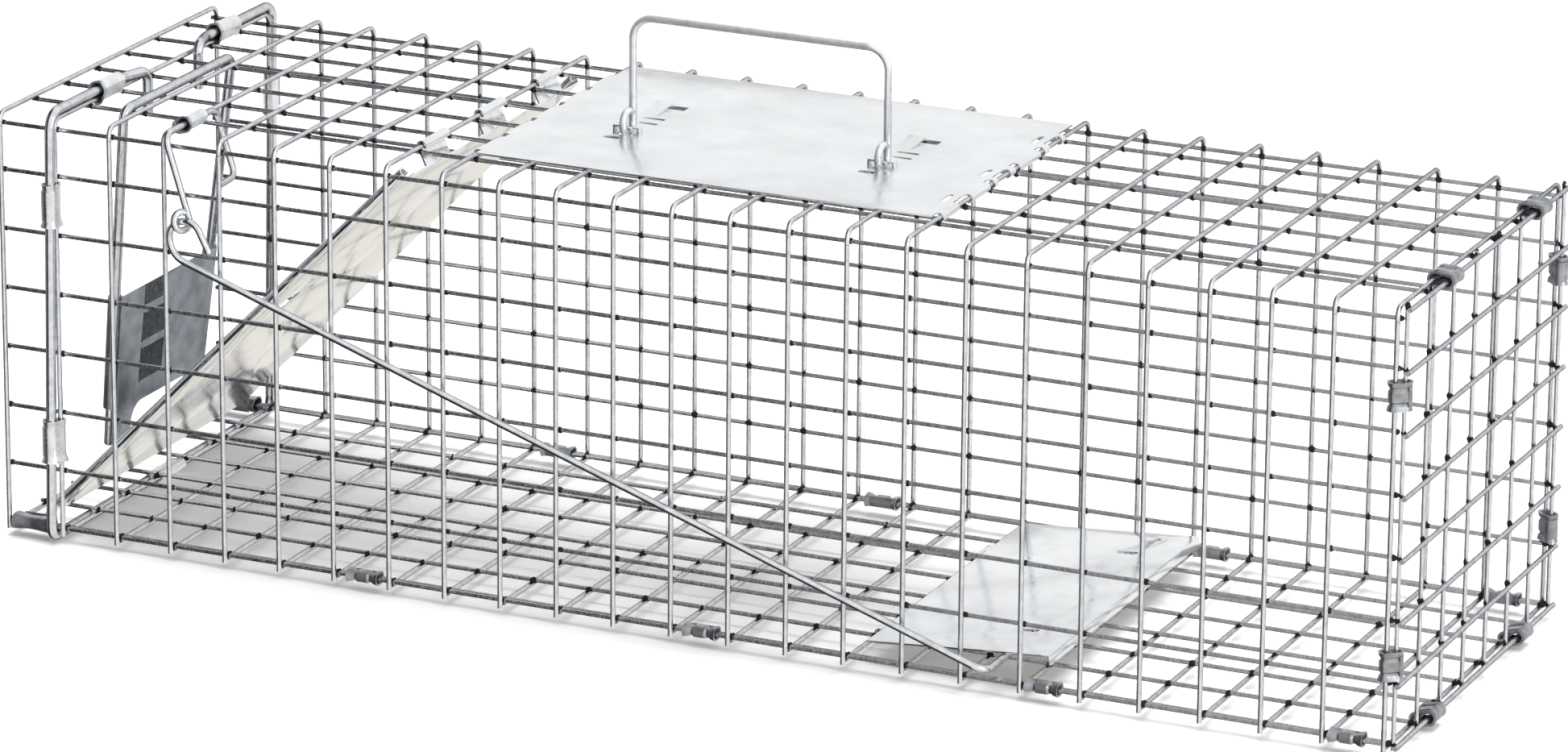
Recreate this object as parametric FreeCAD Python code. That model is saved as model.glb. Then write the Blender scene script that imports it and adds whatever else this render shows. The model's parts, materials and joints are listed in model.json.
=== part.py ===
"""Live catch trap: a long welded-wire cage with one gravity door, a lock frame, a treadle and a trip rod.

Frame while modelling: X runs from the door end to the closed rear end, Y from the trip-rod side to the
far side, Z up, with the ground at Z = 0 and X = Y = 0 at the middle of the cage. Before export every
piece is moved so that the origin is the bottom centre of the whole trap's box. Millimetres throughout.
"""
import FreeCAD
import Part
import os
from math import asin, atan2, cos, degrees, hypot, radians, sin, tan

Vector = FreeCAD.Vector

# ---------------------------------------------------------------- driving dimensions
# cage mesh: squares of welded wire
PITCH = 25.4
SQUARES_LONG = 24
SQUARES_HIGH = 7
CAGE_WIDTH = 184.5          # between the centre lines of the hoops' two sides
ROOF_PITCH = 25.7           # between the roof's line wires
ROOF_FIRST = 29.6           # from the near side to the first of them
FLOOR_WIDTH = 177.0         # between the floor's outer line wires
HOOP_WIRE = 2.1
LINE_WIRE = 1.85
WELD_SINK = 0.2             # how far two crossing wires melt into each other
WIRE_OVERHANG = 1.5
HOOP_BEND = 4.0
SPLIT_DROP = 1.8            # from the end of a hoop's bend down to where the side wall takes over
HOOP_FOOT_DROP = 3.0        # how far the hoops' feet reach below the floor's line wires
ROOF_ROWS = 6
SHOULDER_DROP = 4.6         # from the hoops' tops down to the line wire inside each bend
FLOOR_ROWS = 8

# rear panel
REAR_ROWS = 8               # as many uprights as level wires
REAR_GAP = 3.2              # from the last hoop to the panel's uprights
REAR_INSET = 2.5            # from the side walls' hoops in to its outer uprights
REAR_LOW_DROP = 0.6         # from the floor's line wires down to its lowest level wire
REAR_HIGH_DROP = 0.4        # from the hoops' tops down to its highest level wire
REAR_UPRIGHT_OVERHANG = 1.6
REAR_LEVEL_OVERHANG = 2.6

# clips
CLIP_GAP = 0.25             # inside a crimped clip, all round its wires
REAR_CLIP_LENGTH = 11.5
REAR_CLIPS_Y = (-46.0, 56.5)
REAR_CLIPS_Z = (39.0, 148.0)
BOTTOM_CLIP_SHIFT = -3.5    # the lower pair stands this far across from the upper pair
FLOOR_CLIP_LENGTH = 14.0
FLOOR_CLIPS_X = (-139.5, 12.7, 161.5, 289.0)
CORNER_CLIP_LENGTH = 17.0
CORNER_CLIP_X = -294.5
CORNER_CLIP_HOLE = 2.4
CORNER_CLIP_SHIFT = 0.2

# bent rods and wires
FRAME_ROD = 4.3
LOCK_ROD = 4.2
TRIP_WIRE = 2.9
HANDLE_WIRE = 3.2
TOUCH_GAP = 0.1             # between pieces that only lie on each other
TURN_GAP = 0.35             # round a wire or rod that turns in a curl or a loop
PAST = 1.0                  # how far a cutting block runs past the face it cuts

# sheet metal
SHEET = 0.8
THICK_SHEET = 1.0
SLEEVE_LENGTH = 18.0

# door
DOOR_SLOPE = 45.3           # degrees below level when closed
DOOR_OFFSET = 7.65          # from the hinge axis to the middle of the sheet
DOOR_TOP = 4.0              # from the hinge axis down the slope to the sheet's upper edge
DOOR_LENGTH = 236.0         # from the hinge axis down the slope to the sheet's lower edge
DOOR_HALF_WIDTH = 80.0
DOOR_CURL = 2.6             # outside radius of the rolled side edges
DOOR_ROLL = 290             # degrees that the side edges are rolled round
DOOR_TAB_WIDTH = 21.5
DOOR_TAB_CURL = 285
CATCH_S = (91.0, 105.0)
CATCH_Y = (-66.0, -54.0)
CATCH_RISE = 4.2
CATCH_INSET = 3.0           # the strap is narrower than its opening by this much at each side
CATCH_END = 1.5             # and the opening ends this far inside the strap's feet
DOOR_SLITS_S = (49.5, 163.0)
DOOR_SLIT_LENGTH = 6.5
DOOR_SLIT_Y = (7.5, 8.4)

# lock frame
LOCK_LEAN = 6.0             # degrees forward of plumb when the door is closed
LOCK_REACH = 157.1          # from its axis to the tips that bear on the door

# treadle
PAN_TILT = 4.5
PAN_LENGTH = 79.0
PAN_HALF_WIDTH = 79.5
PAN_FLANGE = 4.0
PAN_TAB_WIDTH = 12.0
PAN_TAB_CURL = 275
PAN_LOOP_WIDTH = 8.0
PAN_SLOT_X = (-5.5, 3.5)    # beside the trip rod's run
PAN_SLOT_HALF_WIDTH = 1.7
DIMPLE_RADIUS = 6.0
DIMPLE_RISE = 0.9
ROD_CROSS_X = 140.0
ROD_CROSS_Z = 11.9

# roof plate
PLATE_LIFT = 0.05           # between the plate and the hoops it lies on

# ---------------------------------------------------------------- places worked out from them
CAGE_LENGTH = SQUARES_LONG * PITCH
FRONT_X = -CAGE_LENGTH / 2
REAR_X = CAGE_LENGTH / 2
SIDE_Y = CAGE_WIDTH / 2
INNER_STEP = (HOOP_WIRE + LINE_WIRE) / 2 - WELD_SINK
FRAME_FOOT_Z = FRAME_ROD / 2 + TOUCH_GAP + SHEET
FLOOR_Z = FRAME_FOOT_Z + FRAME_ROD / 2 + TOUCH_GAP + LINE_WIRE / 2
ROOF_Z = FLOOR_Z + 177.0
SPLIT_Z = ROOF_Z - HOOP_BEND - SPLIT_DROP
HOOP_FOOT_Z = FLOOR_Z - HOOP_FOOT_DROP
REAR_MESH_X = REAR_X + REAR_GAP
HINGE = Vector(FRONT_X + 7 * PITCH, 0, ROOF_Z)
LOCK_AXIS = Vector(FRONT_X + 2 * PITCH - (HOOP_WIRE + LOCK_ROD) / 2 - 0.3, 0,
                   ROOF_Z - INNER_STEP + (LINE_WIRE + LOCK_ROD) / 2 + 0.5)
TRIGGER_AXIS = Vector(FRONT_X + 3 * PITCH + 2.6, 0, ROOF_Z + 1.3)
PAN_AXIS = Vector(FRONT_X + 15 * PITCH, 0, FLOOR_Z - INNER_STEP)
HANDLE_AXIS = Vector(0, -9.0, ROOF_Z + 5.4)
ROD_SIDE_Y = -98.0
PLATE_Z = ROOF_Z + HOOP_WIRE / 2 + PLATE_LIFT + SHEET / 2
RING_CENTRE = Vector(-217.5, ROD_SIDE_Y, 149.6)


# ---------------------------------------------------------------- shape helpers
def hoop_x(number):
    """Where hoop NUMBER stands, counted from the door end."""
    return FRONT_X + number * PITCH


def bar(start, end, diameter):
    """A straight round bar between two points."""
    return Part.makeCylinder(diameter / 2, (end - start).Length, start, end - start)


def rounded_path(points, radii):
    """Straight runs joined by tangent arcs: RADII holds one radius for each inner point."""
    edges = []
    last = points[0]
    for before, corner, after, radius in zip(points, points[1:], points[2:], radii):
        back = (before - corner).normalize()
        ahead = (after - corner).normalize()
        half_angle = back.getAngle(ahead) / 2
        reach = radius / tan(half_angle)
        start = corner + back * reach
        end = corner + ahead * reach
        bisector = (back + ahead).normalize()
        middle = corner + bisector * (radius / sin(half_angle) - radius)
        if (start - last).Length > 1e-6:
            edges.append(Part.LineSegment(last, start).toShape())
        edges.append(Part.Arc(start, middle, end).toShape())
        last = end
    edges.append(Part.LineSegment(last, points[-1]).toShape())
    return Part.Wire(edges)


def bent_wire(points, radii, diameter):
    """A round wire bent along a rounded path."""
    path = rounded_path(points, radii)
    direction = points[1] - points[0]
    profile = Part.Wire(Part.Circle(points[0], direction, diameter / 2).toShape())
    return path.makePipeShell([profile], True, False)


def two_circle_outline(first, first_radius, second, second_radius, axis):
    """The outline of a band pulled tight round two circles, as a closed wire."""
    along = (second - first)
    distance = along.Length
    along = along.normalize()
    across = axis.cross(along).normalize()
    lean = asin((first_radius - second_radius) / distance)
    normal_up = along * sin(lean) + across * cos(lean)
    normal_down = along * sin(lean) - across * cos(lean)
    a_up = first + normal_up * first_radius
    a_down = first + normal_down * first_radius
    b_up = second + normal_up * second_radius
    b_down = second + normal_down * second_radius
    return Part.Wire([
        Part.LineSegment(a_up, b_up).toShape(),
        Part.Arc(b_up, second + along * second_radius, b_down).toShape(),
        Part.LineSegment(b_down, a_down).toShape(),
        Part.Arc(a_down, first - along * first_radius, a_up).toShape(),
    ])


def band(first, first_radius, second, second_radius, wall, axis, length):
    """A sheet sleeve rolled round two parallel round bars, LENGTH long and centred on the points."""
    axis = Vector(axis).normalize()
    shift = axis * (-length / 2)
    outer = two_circle_outline(first + shift, first_radius + wall, second + shift, second_radius + wall, axis)
    inner = two_circle_outline(first + shift, first_radius, second + shift, second_radius, axis)
    body = Part.Face(outer).extrude(axis * length)
    return body.cut(Part.Face(inner).extrude(axis * length))


def curl(centre, axis, inner_radius, wall, length, start_direction, sweep):
    """A rolled sheet edge: part of a tube wall, from START_DIRECTION round by SWEEP degrees."""
    axis = Vector(axis).normalize()
    base = centre - axis * (length / 2)
    outer = Part.makeCylinder(inner_radius + wall, length, Vector(0, 0, 0), Vector(0, 0, 1), sweep)
    hollow = Part.makeCylinder(inner_radius, length * 3, Vector(0, 0, -length))
    piece = outer.cut(hollow)
    x_direction = Vector(start_direction).normalize()
    y_direction = axis.cross(x_direction)
    matrix = FreeCAD.Matrix(x_direction.x, y_direction.x, axis.x, base.x,
                            x_direction.y, y_direction.y, axis.y, base.y,
                            x_direction.z, y_direction.z, axis.z, base.z,
                            0, 0, 0, 1)
    piece.transformShape(matrix)
    return piece


def block(low, high):
    """A box between two corners."""
    size = Vector(*high) - Vector(*low)
    return Part.makeBox(size.x, size.y, size.z, Vector(*low))


def placed(shape, origin, slope):
    """Turn a shape about Y so that its own X runs forward and SLOPE degrees down, and move it to ORIGIN."""
    turned = shape.copy()
    turned.Placement = FreeCAD.Placement(origin, FreeCAD.Rotation(Vector(0, 1, 0), 180 - slope))
    return turned


# ---------------------------------------------------------------- cage mesh
def side_mesh(side):
    """One side wall: the hoops' upright parts outside, seven line wires inside."""
    wires = []
    for number in range(SQUARES_LONG + 1):
        foot = Vector(hoop_x(number), side * SIDE_Y, HOOP_FOOT_Z)
        wires.append(bar(foot, Vector(foot.x, foot.y, SPLIT_Z), HOOP_WIRE))
    for row in range(SQUARES_HIGH):
        level = FLOOR_Z + row * PITCH
        start = Vector(FRONT_X - WIRE_OVERHANG, side * (SIDE_Y - INNER_STEP), level)
        wires.append(bar(start, Vector(REAR_X + WIRE_OVERHANG, start.y, level), LINE_WIRE))
    return wires


def roof_mesh():
    """The roof with both bent edges: the hoops' tops outside, line wires below them."""
    corners = [Vector(0, -SIDE_Y, SPLIT_Z), Vector(0, -SIDE_Y, ROOF_Z), Vector(0, SIDE_Y, ROOF_Z),
               Vector(0, SIDE_Y, SPLIT_Z)]
    wires = []
    for number in range(SQUARES_LONG + 1):
        points = [Vector(hoop_x(number), point.y, point.z) for point in corners]
        wires.append(bent_wire(points, [HOOP_BEND, HOOP_BEND], HOOP_WIRE))
    rows = [(-SIDE_Y + ROOF_FIRST + row * ROOF_PITCH, ROOF_Z - INNER_STEP) for row in range(ROOF_ROWS)]
    rows += [(side * (SIDE_Y - INNER_STEP), ROOF_Z - SHOULDER_DROP) for side in (-1, 1)]
    for across, level in rows:
        start = Vector(FRONT_X - WIRE_OVERHANG, across, level)
        wires.append(bar(start, Vector(REAR_X + WIRE_OVERHANG, across, level), LINE_WIRE))
    return wires


def floor_rows():
    """Where the floor's line wires lie across the cage."""
    return [-FLOOR_WIDTH / 2 + row * FLOOR_WIDTH / (FLOOR_ROWS - 1) for row in range(FLOOR_ROWS)]


def floor_mesh():
    """The floor panel: line wires above, cross wires below."""
    wires = []
    for across in floor_rows():
        start = Vector(FRONT_X - WIRE_OVERHANG, across, FLOOR_Z)
        wires.append(bar(start, Vector(REAR_X + WIRE_OVERHANG, across, FLOOR_Z), LINE_WIRE))
    reach = FLOOR_WIDTH / 2 + LINE_WIRE / 2
    for number in range(SQUARES_LONG + 1):
        start = Vector(hoop_x(number), -reach, FLOOR_Z - INNER_STEP)
        wires.append(bar(start, Vector(start.x, reach, start.z), HOOP_WIRE))
    return wires


def rear_mesh():
    """The closed end: uprights next to the cage and level wires outside them."""
    wires = []
    half = SIDE_Y - REAR_INSET
    low = FLOOR_Z - REAR_LOW_DROP
    high = ROOF_Z - REAR_HIGH_DROP
    cells = REAR_ROWS - 1
    for column in range(REAR_ROWS):
        start = Vector(REAR_MESH_X, -half + column * 2 * half / cells, low - REAR_UPRIGHT_OVERHANG)
        wires.append(bar(start, Vector(start.x, start.y, high + REAR_UPRIGHT_OVERHANG), LINE_WIRE))
    for row in range(REAR_ROWS):
        level = low + row * (high - low) / cells
        start = Vector(REAR_MESH_X + INNER_STEP, -half - REAR_LEVEL_OVERHANG, level)
        wires.append(bar(start, Vector(start.x, half + REAR_LEVEL_OVERHANG, level), HOOP_WIRE))
    return wires


# ---------------------------------------------------------------- clips that join the panels
def rear_clips():
    """Rolled clips that hold the rear panel's edge wires to the last hoop and the floor."""
    hole = HOOP_WIRE / 2 + CLIP_GAP
    level_wire_x = REAR_MESH_X + INNER_STEP
    mesh_side = SIDE_Y - REAR_INSET
    groups = {"rear_clips_top": [], "rear_clips_near": [], "rear_clips_far": [], "rear_clips_bottom": []}
    for across in REAR_CLIPS_Y:
        hoop = Vector(REAR_X, across, ROOF_Z)
        edge = Vector(level_wire_x, across, ROOF_Z - REAR_HIGH_DROP)
        groups["rear_clips_top"].append((hoop, edge, (0, 1, 0)))
        floor = Vector(REAR_X, across + BOTTOM_CLIP_SHIFT, FLOOR_Z - INNER_STEP)
        edge = Vector(level_wire_x, across + BOTTOM_CLIP_SHIFT, FLOOR_Z - REAR_LOW_DROP)
        groups["rear_clips_bottom"].append((floor, edge, (0, 1, 0)))
    for side, name in ((-1, "rear_clips_near"), (1, "rear_clips_far")):
        for level in REAR_CLIPS_Z:
            hoop = Vector(REAR_X, side * SIDE_Y, level)
            groups[name].append((hoop, Vector(REAR_MESH_X, side * mesh_side, level), (0, 0, 1)))
    made = {}
    for name, places in groups.items():
        made[name] = [band(first, hole, second, hole, THICK_SHEET, axis, REAR_CLIP_LENGTH)
                      for first, second, axis in places]
    return made


def floor_clips(side):
    """Crimped clips that hold a side wall's lowest wire to the floor's edge wire."""
    hole = LINE_WIRE / 2 + CLIP_GAP
    clips = []
    for along in FLOOR_CLIPS_X:
        wall_wire = Vector(along, side * (SIDE_Y - INNER_STEP), FLOOR_Z)
        floor_wire = Vector(along, side * FLOOR_WIDTH / 2, FLOOR_Z)
        clips.append(band(wall_wire, hole, floor_wire, hole, SHEET, (1, 0, 0), FLOOR_CLIP_LENGTH))
    return clips


def corner_clips():
    """Long clips at the two front floor corners, between the first hoop and the frame rod."""
    clips = []
    for side in (-1, 1):
        wall_wire = Vector(CORNER_CLIP_X, side * (SIDE_Y - INNER_STEP + CORNER_CLIP_SHIFT), FLOOR_Z)
        floor_wire = Vector(CORNER_CLIP_X, side * FLOOR_WIDTH / 2, FLOOR_Z)
        hole = CORNER_CLIP_HOLE
        clips.append(band(wall_wire, hole, floor_wire, hole, SHEET, (1, 0, 0), CORNER_CLIP_LENGTH))
    return clips


# ---------------------------------------------------------------- front frame rod and its sleeves
FRAME_TOP_X = hoop_x(1)
FRAME_TOP_Z = ROOF_Z + (HOOP_WIRE + FRAME_ROD) / 2 + TOUCH_GAP
FRAME_SIDE_Y = SIDE_Y + (HOOP_WIRE + FRAME_ROD) / 2 + TOUCH_GAP
FRAME_FOOT_X = FRAME_TOP_X - 3.5
HOOK_X = FRAME_TOP_X + (HOOP_WIRE + FRAME_ROD) / 2 + 0.3
HOOK_TIP_Z = 167.5
HOOK_NEAR_Y = -20.0
HOOK_FAR_Y = 23.5
HOOK_JOG = 13.0             # how far back from each hook its rod starts to step off the hoop
FRAME_BENDS = (4.5, 12.0, 6.9, 5.0, 5.0, 6.9, 12.0, 4.5)
ROOF_SLEEVES_Y = (-47.5, 53.0)
SIDE_SLEEVES_Z = (45.6, 147.5)
SIDE_SLEEVE_SLACK = 0.15    # because the uprights lean and the side hoops don't
FLOOR_SLEEVE_LENGTH = 20.0


def frame_x(level):
    """The frame rod's uprights lean forward on the way down."""
    return FRAME_TOP_X + (FRAME_FOOT_X - FRAME_TOP_X) * (FRAME_TOP_Z - level) / (FRAME_TOP_Z - FRAME_FOOT_Z)


def front_frame_rod():
    """One rod round the mouth of the cage, with both ends hooked down through the roof."""
    points = [
        Vector(HOOK_X, HOOK_NEAR_Y, HOOK_TIP_Z),
        Vector(HOOK_X, HOOK_NEAR_Y, FRAME_TOP_Z),
        Vector(FRAME_TOP_X, HOOK_NEAR_Y - HOOK_JOG, FRAME_TOP_Z),
        Vector(FRAME_TOP_X, -FRAME_SIDE_Y, FRAME_TOP_Z),
        Vector(FRAME_FOOT_X, -FRAME_SIDE_Y, FRAME_FOOT_Z),
        Vector(FRAME_FOOT_X, FRAME_SIDE_Y, FRAME_FOOT_Z),
        Vector(FRAME_TOP_X, FRAME_SIDE_Y, FRAME_TOP_Z),
        Vector(FRAME_TOP_X, HOOK_FAR_Y + HOOK_JOG, FRAME_TOP_Z),
        Vector(HOOK_X, HOOK_FAR_Y, FRAME_TOP_Z),
        Vector(HOOK_X, HOOK_FAR_Y, HOOK_TIP_Z),
    ]
    return bent_wire(points, FRAME_BENDS, FRAME_ROD)


def frame_sleeves():
    """Sleeves that hold the frame rod to the first inner hoop and to the floor."""
    hoop_hole = HOOP_WIRE / 2 + TOUCH_GAP
    rod_hole = FRAME_ROD / 2 + TOUCH_GAP
    sleeves = {}
    for name, across in zip(("roof_sleeve_near", "roof_sleeve_far"), ROOF_SLEEVES_Y):
        hoop = Vector(FRAME_TOP_X, across, ROOF_Z)
        rod = Vector(FRAME_TOP_X, across, FRAME_TOP_Z)
        sleeves[name] = [band(rod, rod_hole, hoop, hoop_hole, SHEET, (0, 1, 0), SLEEVE_LENGTH)]
    for name, side in (("side_sleeves_near", -1), ("side_sleeves_far", 1)):
        sleeves[name] = []
        for level in SIDE_SLEEVES_Z:
            hoop = Vector(FRAME_TOP_X, side * SIDE_Y, level)
            rod = Vector(frame_x(level), side * FRAME_SIDE_Y, level)
            sleeve = band(rod, rod_hole + SIDE_SLEEVE_SLACK, hoop, hoop_hole + SIDE_SLEEVE_SLACK, SHEET,
                          (0, 0, 1), SLEEVE_LENGTH)
            sleeves[name].append(sleeve)
    rod = Vector(FRAME_FOOT_X, 0, FRAME_FOOT_Z)
    cross_wire = Vector(FRAME_TOP_X, 0, FLOOR_Z - INNER_STEP)
    sleeves["floor_sleeve"] = [band(rod, rod_hole, cross_wire, hoop_hole, SHEET, (0, 1, 0),
                                    FLOOR_SLEEVE_LENGTH)]
    return sleeves


# ---------------------------------------------------------------- door
def door_panel():
    """The sheet door: rolled side edges, three tabs curled round a hoop, a lanced catch and two slits."""
    middle = DOOR_OFFSET
    sheet = block((DOOR_TOP, -DOOR_HALF_WIDTH + DOOR_CURL, middle - SHEET / 2),
                  (DOOR_LENGTH, DOOR_HALF_WIDTH - DOOR_CURL, middle + SHEET / 2))
    parts = []
    length = DOOR_LENGTH - DOOR_TOP
    for side in (-1, 1):
        centre = Vector((DOOR_TOP + DOOR_LENGTH) / 2, side * (DOOR_HALF_WIDTH - DOOR_CURL),
                        middle + SHEET / 2 - DOOR_CURL)
        parts.append(curl(centre, Vector(-side, 0, 0), DOOR_CURL - SHEET, SHEET, length, Vector(0, 0, 1),
                          DOOR_ROLL))
    inner = HOOP_WIRE / 2 + TURN_GAP
    for across in hinge_tab_places():
        ring = curl(Vector(0, across, 0), Vector(0, 1, 0), inner, SHEET, DOOR_TAB_WIDTH, Vector(1, 0, 0.6),
                    DOOR_TAB_CURL)
        parts.append(ring)
        strip_start = Vector(inner + SHEET / 2, 0, 0)
        strip_end = Vector(DOOR_TOP + 0.6, 0, middle)
        reach = hypot(strip_end.x - strip_start.x, strip_end.z - strip_start.z)
        strip = block((0, across - DOOR_TAB_WIDTH / 2, -SHEET / 2),
                      (reach, across + DOOR_TAB_WIDTH / 2, SHEET / 2))
        angle = degrees(atan2(strip_end.z - strip_start.z, strip_end.x - strip_start.x))
        strip.Placement = FreeCAD.Placement(strip_start, FreeCAD.Rotation(Vector(0, 1, 0), -angle))
        parts.append(strip)
    door = sheet.fuse(parts)
    low_s, high_s = CATCH_S
    low_y, high_y = CATCH_Y
    door = door.cut(block((low_s + CATCH_END, low_y, middle - PAST),
                          (high_s - CATCH_END, high_y, middle + PAST)))
    outer_strap = block((low_s, low_y + CATCH_INSET, middle - SHEET / 2 - CATCH_RISE),
                        (high_s, high_y - CATCH_INSET, middle + SHEET / 2))
    hollow = block((low_s + CATCH_END, low_y, middle - CATCH_RISE + SHEET / 2),
                   (high_s - CATCH_END, high_y, middle + PAST))
    door = door.fuse(outer_strap.cut(hollow))
    slit_low, slit_high = DOOR_SLIT_Y
    for along in DOOR_SLITS_S:
        door = door.cut(block((along, slit_low, middle - PAST),
                              (along + DOOR_SLIT_LENGTH, slit_high, middle + PAST)))
    return placed(door.removeSplitter(), HINGE, DOOR_SLOPE)


def hinge_tab_places():
    """The tabs fill every other cell between the roof's line wires."""
    first = -SIDE_Y + ROOF_FIRST
    return [first + (cell + 0.5) * ROOF_PITCH for cell in (0, 2, 4)]


# ---------------------------------------------------------------- lock frame
LOCK_BAR_NEAR = -73.0
LOCK_BAR_FAR = 19.2
LOCK_FOOT_NEAR = -63.5
LOCK_FOOT_FAR = 9.7
LOCK_ROD_REACH = 150.0
LOCK_BEND = 5.0
LOCK_PLATE_TOP = 83.0       # these run down the frame from its axis
LOCK_WRAP_END = 133.0
LOCK_ARCH_TOP = 135.0
LOCK_LOBE_TOP = 143.0
LOCK_LOBE = 13.0            # width of each bearing lobe
LOCK_LOBE_TAPER = (3.0, 1.0)
LOCK_ARCH = 8.0             # radius of the arch's two corners
LOCK_PANELS = ((82.0, 92.0), (95.5, 108.0), (111.5, 126.0))
LOCK_PANEL_Y = (-47.0, -28.0)
LOCK_GROOVE_Y = (-47.9, -46.8)
LOCK_GROOVE_DEPTH = 0.3     # below the panels' own floor
LOCK_GROOVE_OVERRUN = 0.5   # past each end of its panel
LOCK_CUT_PAST = 5.0


def lock_point(reach, across, offset=0.0):
    """A point of the lock frame: REACH down its plane from the axis, OFFSET forward of that plane."""
    lean = radians(LOCK_LEAN)
    down = Vector(-sin(lean), 0, -cos(lean))
    forward = Vector(-cos(lean), 0, sin(lean))
    return LOCK_AXIS + down * reach + forward * offset + Vector(0, across, 0)


def lock_rod():
    """The lock frame's rod: a bar across the roof and two legs that draw together on the way down."""
    points = [lock_point(LOCK_ROD_REACH, LOCK_FOOT_NEAR), lock_point(0, LOCK_BAR_NEAR),
              lock_point(0, LOCK_BAR_FAR), lock_point(LOCK_ROD_REACH, LOCK_FOOT_FAR)]
    return bent_wire(points, [LOCK_BEND, LOCK_BEND], LOCK_ROD)


def lock_leg_y(reach, near):
    """Where a leg's centre line is across the cage, REACH down from the bar."""
    share = reach / LOCK_ROD_REACH
    if near:
        return LOCK_BAR_NEAR + (LOCK_FOOT_NEAR - LOCK_BAR_NEAR) * share
    return LOCK_BAR_FAR + (LOCK_FOOT_FAR - LOCK_BAR_FAR) * share


def lock_plate():
    """The plate between the legs, wrapped round both of them, with a bearing lobe at each side."""
    top = LOCK_PLATE_TOP
    wrap_end = LOCK_WRAP_END
    tip = LOCK_REACH
    lobe = LOCK_LOBE
    outer_taper, inner_taper = LOCK_LOBE_TAPER
    wall = THICK_SHEET
    behind = -(LOCK_ROD / 2 + TOUCH_GAP + wall / 2)
    near_top = lock_leg_y(top, True)
    far_top = lock_leg_y(top, False)
    near_end = lock_leg_y(wrap_end, True)
    far_end = lock_leg_y(wrap_end, False)
    outline = [
        (top, near_top), (wrap_end, near_end), (tip, near_end + outer_taper),
        (tip, near_end + lobe + inner_taper), (LOCK_LOBE_TOP, near_end + lobe),
        (LOCK_LOBE_TOP, far_end - lobe), (tip, far_end - lobe - inner_taper),
        (tip, far_end - outer_taper), (wrap_end, far_end), (top, far_top),
    ]
    points = [lock_point(reach, across, behind + wall / 2) for reach, across in outline]
    lean = radians(LOCK_LEAN)
    backward = Vector(cos(lean), 0, -sin(lean))
    plate = Part.Face(Part.makePolygon(points + points[:1])).extrude(backward * wall)
    low_y = near_end + lobe
    high_y = far_end - lobe
    cutters = [lock_cutter(LOCK_ARCH_TOP, tip, low_y + LOCK_ARCH, high_y - LOCK_ARCH, LOCK_CUT_PAST)]
    for across in (low_y + LOCK_ARCH, high_y - LOCK_ARCH):
        centre = lock_point(LOCK_ARCH_TOP + LOCK_ARCH, across, behind - LOCK_CUT_PAST)
        cutters.append(Part.makeCylinder(LOCK_ARCH, 2 * LOCK_CUT_PAST, centre, backward * -1))
    depth = wall / 2
    for start, end in LOCK_PANELS:
        cutters.append(lock_cutter(start, end, *LOCK_PANEL_Y, depth))
        cutters.append(lock_cutter(start - LOCK_GROOVE_OVERRUN, end + LOCK_GROOVE_OVERRUN, *LOCK_GROOVE_Y,
                                   depth + LOCK_GROOVE_DEPTH))
    plate = plate.cut(cutters)
    hole = LOCK_ROD / 2 + TOUCH_GAP
    for near in (True, False):
        start = lock_point(top, lock_leg_y(top, near))
        end = lock_point(wrap_end, lock_leg_y(wrap_end, near))
        axis = (end - start).normalize()
        outer = Part.makeCylinder(hole + wall, (end - start).Length, start, axis)
        inner = Part.makeCylinder(hole, (end - start).Length + 20, start - axis * 10, axis)
        keep = half_space_cut(start, end, near)
        wrap = outer.cut(inner).cut(keep)
        plate = plate.cut(inner).fuse(wrap)
    return plate.removeSplitter()


def lock_cutter(start, end, low_y, high_y, depth):
    """A box that cuts DEPTH into the lock plate's rear face, from START to END down the plate."""
    rear = -(LOCK_ROD / 2 + TOUCH_GAP + THICK_SHEET)
    corner = lock_point(end, low_y, rear + depth)
    cutter = Part.makeBox(depth + LOCK_CUT_PAST, high_y - low_y, end - start)
    cutter.Placement = FreeCAD.Placement(corner, FreeCAD.Rotation(Vector(0, 1, 0), LOCK_LEAN))
    return cutter


def half_space_cut(start, end, near):
    """The quarter of a leg's tube that the wrapped plate leaves open, on the inner front side."""
    side = 1 if near else -1
    length = (end - start).Length
    width = 6.0
    cutter = Part.makeBox(width, width, length + 2, Vector(-width, 0 if side > 0 else -width, -1))
    rotation = FreeCAD.Rotation(Vector(0, 0, 1), end - start)
    cutter.Placement = FreeCAD.Placement(start, rotation)
    return cutter


# ---------------------------------------------------------------- trigger, trip rod and treadle
TRIGGER_ARM_Y = -53.0
TRIGGER_SIDE_Y = -95.6
TRIGGER_FOOT_X = -217.0
TRIGGER_FOOT_Z = (156.6, 157.1)
TRIGGER_FOOT_LENGTH = 13.0
TRIGGER_SLEEVE_Y = -71.8
TRIGGER_SLEEVE_LENGTH = 15.0
EYE_RADIUS = 3.8


def eye_frame():
    """The eye's own directions: down its arm, across the eye, and square to it."""
    down = Vector(0.286, 0.0, -0.958).normalize()
    level = Vector(0.5, 0.866, 0)
    across = (level - down * level.dot(down)).normalize()
    return down, across, down.cross(across).normalize()


def trigger():
    """The trigger wire: a foot that holds the door up, a pivot run in its sleeve, an arm and an eye."""
    down, across, square = eye_frame()
    meet = RING_CENTRE + across * EYE_RADIUS
    points = [
        Vector(TRIGGER_FOOT_X, TRIGGER_ARM_Y - TRIGGER_FOOT_LENGTH, TRIGGER_FOOT_Z[0]),
        Vector(TRIGGER_FOOT_X, TRIGGER_ARM_Y, TRIGGER_FOOT_Z[1]),
        TRIGGER_AXIS + Vector(0, TRIGGER_ARM_Y, 0),
        TRIGGER_AXIS + Vector(0, TRIGGER_SIDE_Y, 0),
        meet,
    ]
    wire = bent_wire(points, [4.0, 4.5, 5.0], TRIP_WIRE)
    eye = Part.makeTorus(EYE_RADIUS, TRIP_WIRE / 2, RING_CENTRE, square)
    return wire.fuse(eye)


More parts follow.
